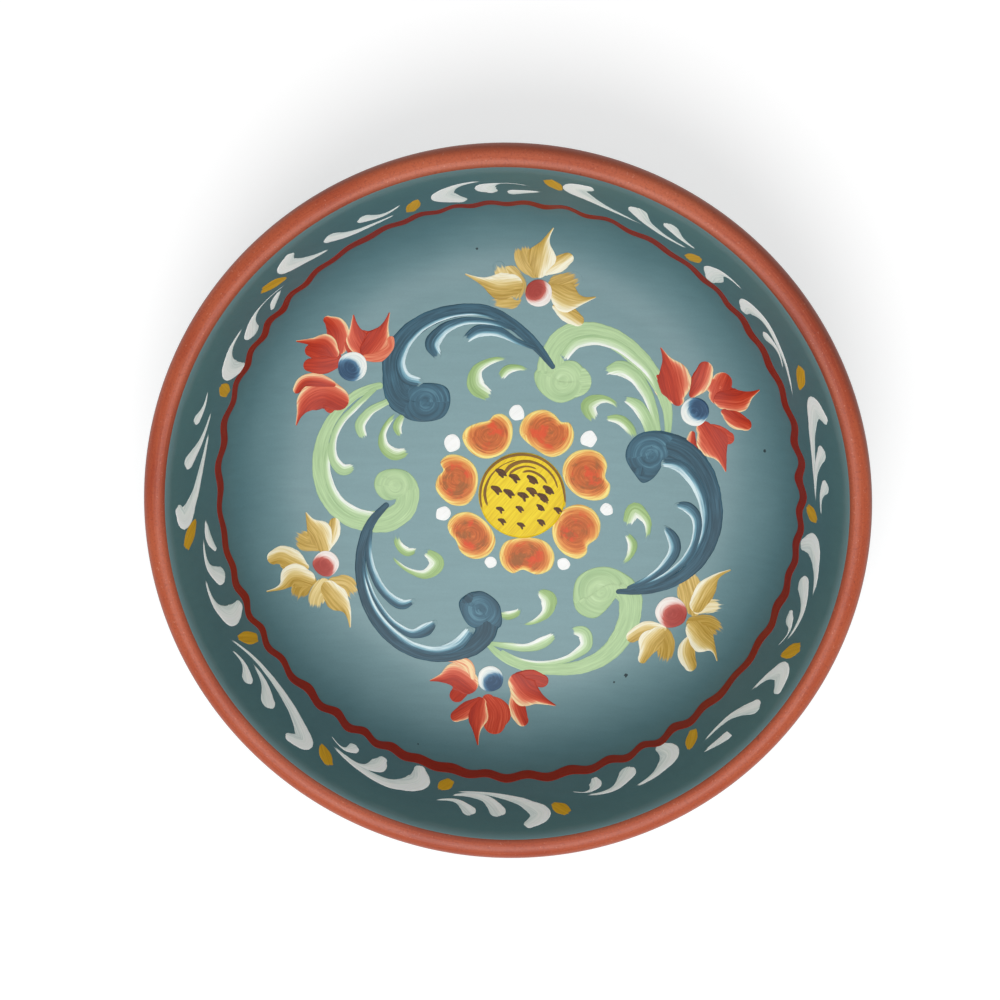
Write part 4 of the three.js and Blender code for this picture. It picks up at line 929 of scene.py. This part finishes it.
def lobe_points(points):
    """A lobe's stroke, with its end rounded where it is broad and drawn out like a flame where pointed."""
    points = np.array(points, float)
    points[:, 2] *= np.where(points[:, 2] > LOBE_TIP, LOBE_FULLNESS, 1)
    if points[-1, 2] > LOBE_TIP:
        broad = max(points[-1, 2], BROAD_END * points[-2, 2])
        points[-1, :2] += (broad - points[-1, 2]) * unit(points[-2, :2] - points[-1, :2])
        points[-1, 2] = broad
    elif len(points) > 3:
        points[-2, 2] *= FLAME_NECK
    return points


def paint_scrolls():
    for name, (paint, head, strokes) in SCROLLS.items():
        solid = Solid()
        base = 0 if paint == "sage" else 3
        blob(solid, 0, head, loads=(0.15, 0.3), layer=base, wets=(0.75, 1.2), grain=0.4)
        for k, (light, glow, *points) in enumerate(strokes):
            ends = (0, 0) if k == 0 else (3, 0)
            ribbon(solid, 0, points, light=light, glow=glow, layer=base + min(k, 2), dry=ends, dim=12)
        dress(solid, name, [paint])
    solid = Solid()
    for points in CURLS:
        ribbon(solid, 0, points, light=-1, glow=0.6, dry=(3, 7), feather=0.5, dim=8)
    dress(solid, "small_curls", ["olive"])


def paint_flower():
    for name, outline in PETALS.items():
        solid = Solid()
        blob(solid, 0, outline, loads=(1, 0.25), layer=1, rim=1.02)
        dress(solid, name, ["petal"])

    solid = Solid()
    blob(solid, 0, circle(*DISC), loads=(0.5, 0.7), layer=4, sweep=50, wets=(1.2, 1.3))
    for points in CONTOURS:
        ribbon(solid, 1, points, glow=0.55, layer=5, dry=(4, 4), height=0.06)
    for x, y in SEEDS:
        size = 1.15 if y > -5 else 0.85
        dx, dy = rng.uniform(-0.4, 0.4, 2)
        dab = [(-1.5, 0.7 + dy, 0.65), (0, 0, 1.05), (1.4, -0.9 + dx, 0.3)]
        flick = [(-0.5 + dx, -0.5, 0.6), (0.3, -1.5 + dy, 0.4)]
        for layer, points in ((6, dab), (7, flick)):
            points = np.array(points) * size + (x, y, 0)
            ribbon(solid, 1, points, glow=0.05, layer=layer, height=0.08, dry=(0, 0))
    dress(solid, "flower_middle", ["yellow", "brown"])

    solid = Solid()
    for x, y, radius in DOTS:
        blob(solid, 0, circle(x, y, radius, 0.09), loads=(0.9, 1), height=0.15, sweep=40, wets=(0.9, 1.2))
    dress(solid, "white_dots", ["white"])


def paint_sprays():
    for name, (paint, bud_paint, bud, blossoms) in SPRAYS.items():
        for letter, lobes in zip("abc", blossoms):
            solid = Solid()
            for k, (light, glow, *points) in enumerate(lobes):
                fading = paint == "ochre" and not light
                ends = (0, 5 if fading else 0)
                ribbon(solid, 0, lobe_points(points), light=light, glow=glow, layer=k, dry=ends,
                       feather=0.6 if fading else 0.1)
            dress(solid, name + letter, [paint])
        solid = Solid()
        x, y, radius, lit = bud
        blob(solid, 0, circle(x, y, radius, 0.04), lit=lit, layer=3, height=0.2, wets=(1.1, 1.2))
        dress(solid, name + "_bud", [bud_paint])


def paint_flecks():
    solid = Solid()
    for x, y, radius in FLECKS:
        blob(solid, 0, circle(x, y, radius, 0.3), loads=(0.5, 0.2), height=0.04)
    dress(solid, "flecks", ["fleck"])


def paint_border():
    for name, group in COMMAS.items():
        for letter, (width, *points) in zip(("", "b", "c"), group):
            solid = Solid()
            comma(solid, width, points)
            dress(solid, name + letter, ["white"])
    solid = Solid()
    for ends in LEAVES:
        leaf(solid, *ends)
    dress(solid, "border_leaves", ["leaf"])


LINE_WIDTH = 4.5
LINE_WAVES = 48
STEPS_PER_WAVE = 24
LINE_BELOW_WALL = 0.6  # from its middle to the foot of the wall, along the surface
LINE_DRIFT = 1.2  # how far the line wanders up and down on its way round
LINE_SWING = 1.05  # from the middle of the line to the top of a middling wave
LINE_RADIUS = 0.9 * WALL_START


def paint_line():
    """The wavy line, one closed ring of paint."""
    steps = LINE_WAVES * STEPS_PER_WAVE
    angle = np.linspace(0, 2 * np.pi, steps, endpoint=False)[:, None]
    uneven = 1.4 * np.sin(3 * angle) + 0.8 * np.sin(7 * angle + 1)
    swing = LINE_SWING + 0.35 * np.sin(5 * angle + 1) + 0.25 * np.sin(11 * angle)
    middle = WALL_START - LINE_BELOW_WALL + LINE_DRIFT * np.sin(2 * angle - 2.97)
    middle += swing * np.sin(LINE_WAVES * angle + uneven)
    swell = 0.1 * np.cos(3 * angle - 0.8) + 0.09 * np.cos(angle + 0.6)
    width = LINE_WIDTH * (1 + swell + 0.09 * np.sin(13 * angle + 0.4) + 0.06 * np.sin(31 * angle))
    offset = width / 2 * ACROSS
    reach = middle + offset
    crown = 2 * STROKE_HEIGHT * (1 - 0.35 * ACROSS**2)
    lift = COAT + np.where(np.abs(ACROSS) == 1, -EDGE_DEPTH, crown)
    under = inside_place(middle + offset[:, [-1, 0]] * UNDERSIDE_SHARE, angle, UNDERSIDE)
    grid = np.concatenate([inside_place(reach, angle, lift), under], axis=1)
    brush = np.stack(np.broadcast_arrays(angle * LINE_RADIUS, offset, 5), axis=-1)
    faces = grid_faces(steps, len(ACROSS) + 2, closed_along=True)
    solid = Solid()
    solid.add(grid, faces, 0, padded(reach), 0.4, 1, padded(brush))
    dress(solid, "wavy_line", ["line"])


# The bowl's own surfaces
def coat_on(line):
    """A closed outline: a line on the wood and the same line a coat further out, on its left as it runs."""
    return np.concatenate([line + COAT * left_of(unit(np.gradient(line, axis=0))), line[::-1]])


def evenly(a, b, step):
    """Points from a to b, both included, about a step apart."""
    return np.linspace(a, b, max(2, math.ceil(np.linalg.norm(np.subtract(b, a)) / step)) + 1)


QUARTER = math.pi / 2
lip_start = WALL_ANGLE + QUARTER
lip_end = WALL_ANGLE - QUARTER - math.acos((WALL_THICKNESS - LIP_RADIUS) / LIP_RADIUS)
cove_line = arc(cove_centre, COVE_RADIUS, -QUARTER, WALL_ANGLE - QUARTER)
lip_line = arc(lip_centre, LIP_RADIUS, lip_start, lip_end)
under_line = arc(under_centre, UNDER_CURVE_RADIUS, WALL_ANGLE - QUARTER, -QUARTER)
fillet_centre = np.array([FOOT_RADIUS + FOOT_FILLET, UNDER_Z - FOOT_FILLET])
fillet = arc(fillet_centre, FOOT_FILLET, QUARTER, math.pi)
FOOT_INSIDE = FOOT_RADIUS - FOOT_WIDTH
foot_line = [(FOOT_RADIUS, FOOT_EDGE), (FOOT_RADIUS - FOOT_EDGE, 0), (FOOT_INSIDE + FOOT_EDGE, 0),
             (FOOT_INSIDE, FOOT_EDGE), (FOOT_INSIDE, RECESS_DEPTH - FOOT_FILLET),
             (FOOT_INSIDE - FOOT_FILLET, RECESS_DEPTH), (AXIS_GAP, RECESS_DEPTH)]

flat_line = evenly((AXIS_GAP, FLOOR_Z), cove_line[0], FLAT_STEP)
wall_line = evenly(cove_line[-1], wall_top, WALL_STEP)
inside_line = np.concatenate([flat_line[:-1], cove_line[:-1], wall_line])
lip_turns = np.linspace(lip_start, lip_end, len(lip_line))
red_from = np.argmin(np.abs(lip_turns - QUARTER - INNER_COLOUR_LINE))
ground_line = np.concatenate([inside_line, lip_line[1:red_from + 1]])
ground_reach = lengths(ground_line)
underside = evenly(under_line[-1], fillet[0], FLAT_STEP)[1:-1]
outside_line = np.concatenate([[lip_line[-1]], under_line, underside, fillet])
wood_line = np.concatenate([inside_line, lip_line[1:], under_line, fillet, foot_line])

# Each as its name, outline, material, reach, CAD node and slot
pieces = [
    ("bowl_wood", wood_line, wood, 0.0, "turned_bowl", "wood"),
    ("inside_paint", coat_on(ground_line), ground_paint, np.concatenate([ground_reach, ground_reach[::-1]]),
     "inside_ground_coat", "ground_paint"),
    ("rim_paint", coat_on(lip_line[red_from:]), rim_paint, 0.0, "rim_coat", "rim_paint"),
    ("outside_paint", coat_on(outside_line), outside_paint, 0.0, "outside_ground_coat", "outside_paint"),
]
for name, outline, paint, reach, node, slot in pieces:
    made = turned(name, outline, [paint()], reach)
    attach(made, "root")
    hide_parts(node)

paint_scrolls()
paint_flower()
paint_sprays()
paint_flecks()
paint_border()
paint_line()

# Camera, light and floor
CAMERA_PLACE = Vector((28.58, 125.22, 679.29)) * MM
CAMERA_AIM = Vector((-1.65, 4.71, 60.0)) * MM
CAMERA_LENS = 65.06

camera_data = bpy.data.cameras.new("camera")
camera_data.lens = CAMERA_LENS
camera_data.sensor_width = 36
camera = bpy.data.objects.new("camera", camera_data)
back = (CAMERA_PLACE - CAMERA_AIM).normalized()
right = Vector((0, 1, 0)).cross(back).normalized()
turned_to = Matrix((right, back.cross(right), back)).transposed().to_4x4()
camera.matrix_world = Matrix.Translation(CAMERA_PLACE) @ turned_to
bpy.context.collection.objects.link(camera)
bpy.context.scene.camera = camera
bpy.context.scene.view_settings.view_transform = "Standard"

# Lamp sizes and places in metres
LIGHT_AIM = Vector((0, 0, 0.03))
WORLD_LIGHT = 0.43


def area_light(name, place, size, watts):
    data = bpy.data.lights.new(name, "AREA")
    data.shape = "DISK"
    data.size = size
    data.energy = watts
    lamp = bpy.data.objects.new(name, data)
    lamp.location = place
    lamp.rotation_euler = (LIGHT_AIM - Vector(place)).to_track_quat("-Z", "Y").to_euler()
    bpy.context.collection.objects.link(lamp)


area_light("front_softbox", (-0.1, -0.62, 1.28), 0.95, 10)
area_light("back_fill", (0.3, 0.6, 1.3), 1.3, 3.4)

world = bpy.data.worlds.new("world")
world.use_nodes = True
background = world.node_tree.nodes["Background"]
background.inputs["Color"].default_value = (1, 1, 1, 1)
sky = Tree(world.node_tree)
strength = sky.math("MULTIPLY_ADD", sky.camera_ray(), 1 - WORLD_LIGHT, WORLD_LIGHT)
sky.feed(background.inputs["Strength"], strength)
bpy.context.scene.world = world

FLOOR_HALF = 3000.0
FLOOR_DROP = 0.05  # keeps the floor clear of the foot's own face
FLOOR_GLOW = 1.65
NEAR, FAR = 0.3, 0.9  # in metres from the axis, the floor goes over from its shaded colour to plain white
NEAR_SHARE = 0.3
corners = np.array([[-1, -1, 0], [1, -1, 0], [1, 1, 0], [-1, 1, 0]]) * FLOOR_HALF - (0, 0, FLOOR_DROP)
solid = Solid()
solid.add(corners, [[0, 1, 2, 3]], 0, 0, 0, 0, corners)
material, tree, shader = new_material("floor")
shader.inputs["Base Color"].default_value = (0.9, 0.9, 0.9, 1)
shader.inputs["Roughness"].default_value = 0.8
glow = tree.node("ShaderNodeEmission", {"Color": (1, 1, 1, 1), "Strength": FLOOR_GLOW})
distance = tree.vector("LENGTH", tree.place(), output="Value")
share = tree.math("MULTIPLY", tree.camera_ray(), tree.stretch(distance, NEAR, FAR, NEAR_SHARE, 1.0))
blend = tree.node("ShaderNodeMixShader", {0: share, 1: shader.outputs[0], 2: glow.outputs[0]})
tree.feed(material.node_tree.nodes["Material Output"].inputs["Surface"], blend.outputs[0])
solid.piece("floor", [material])
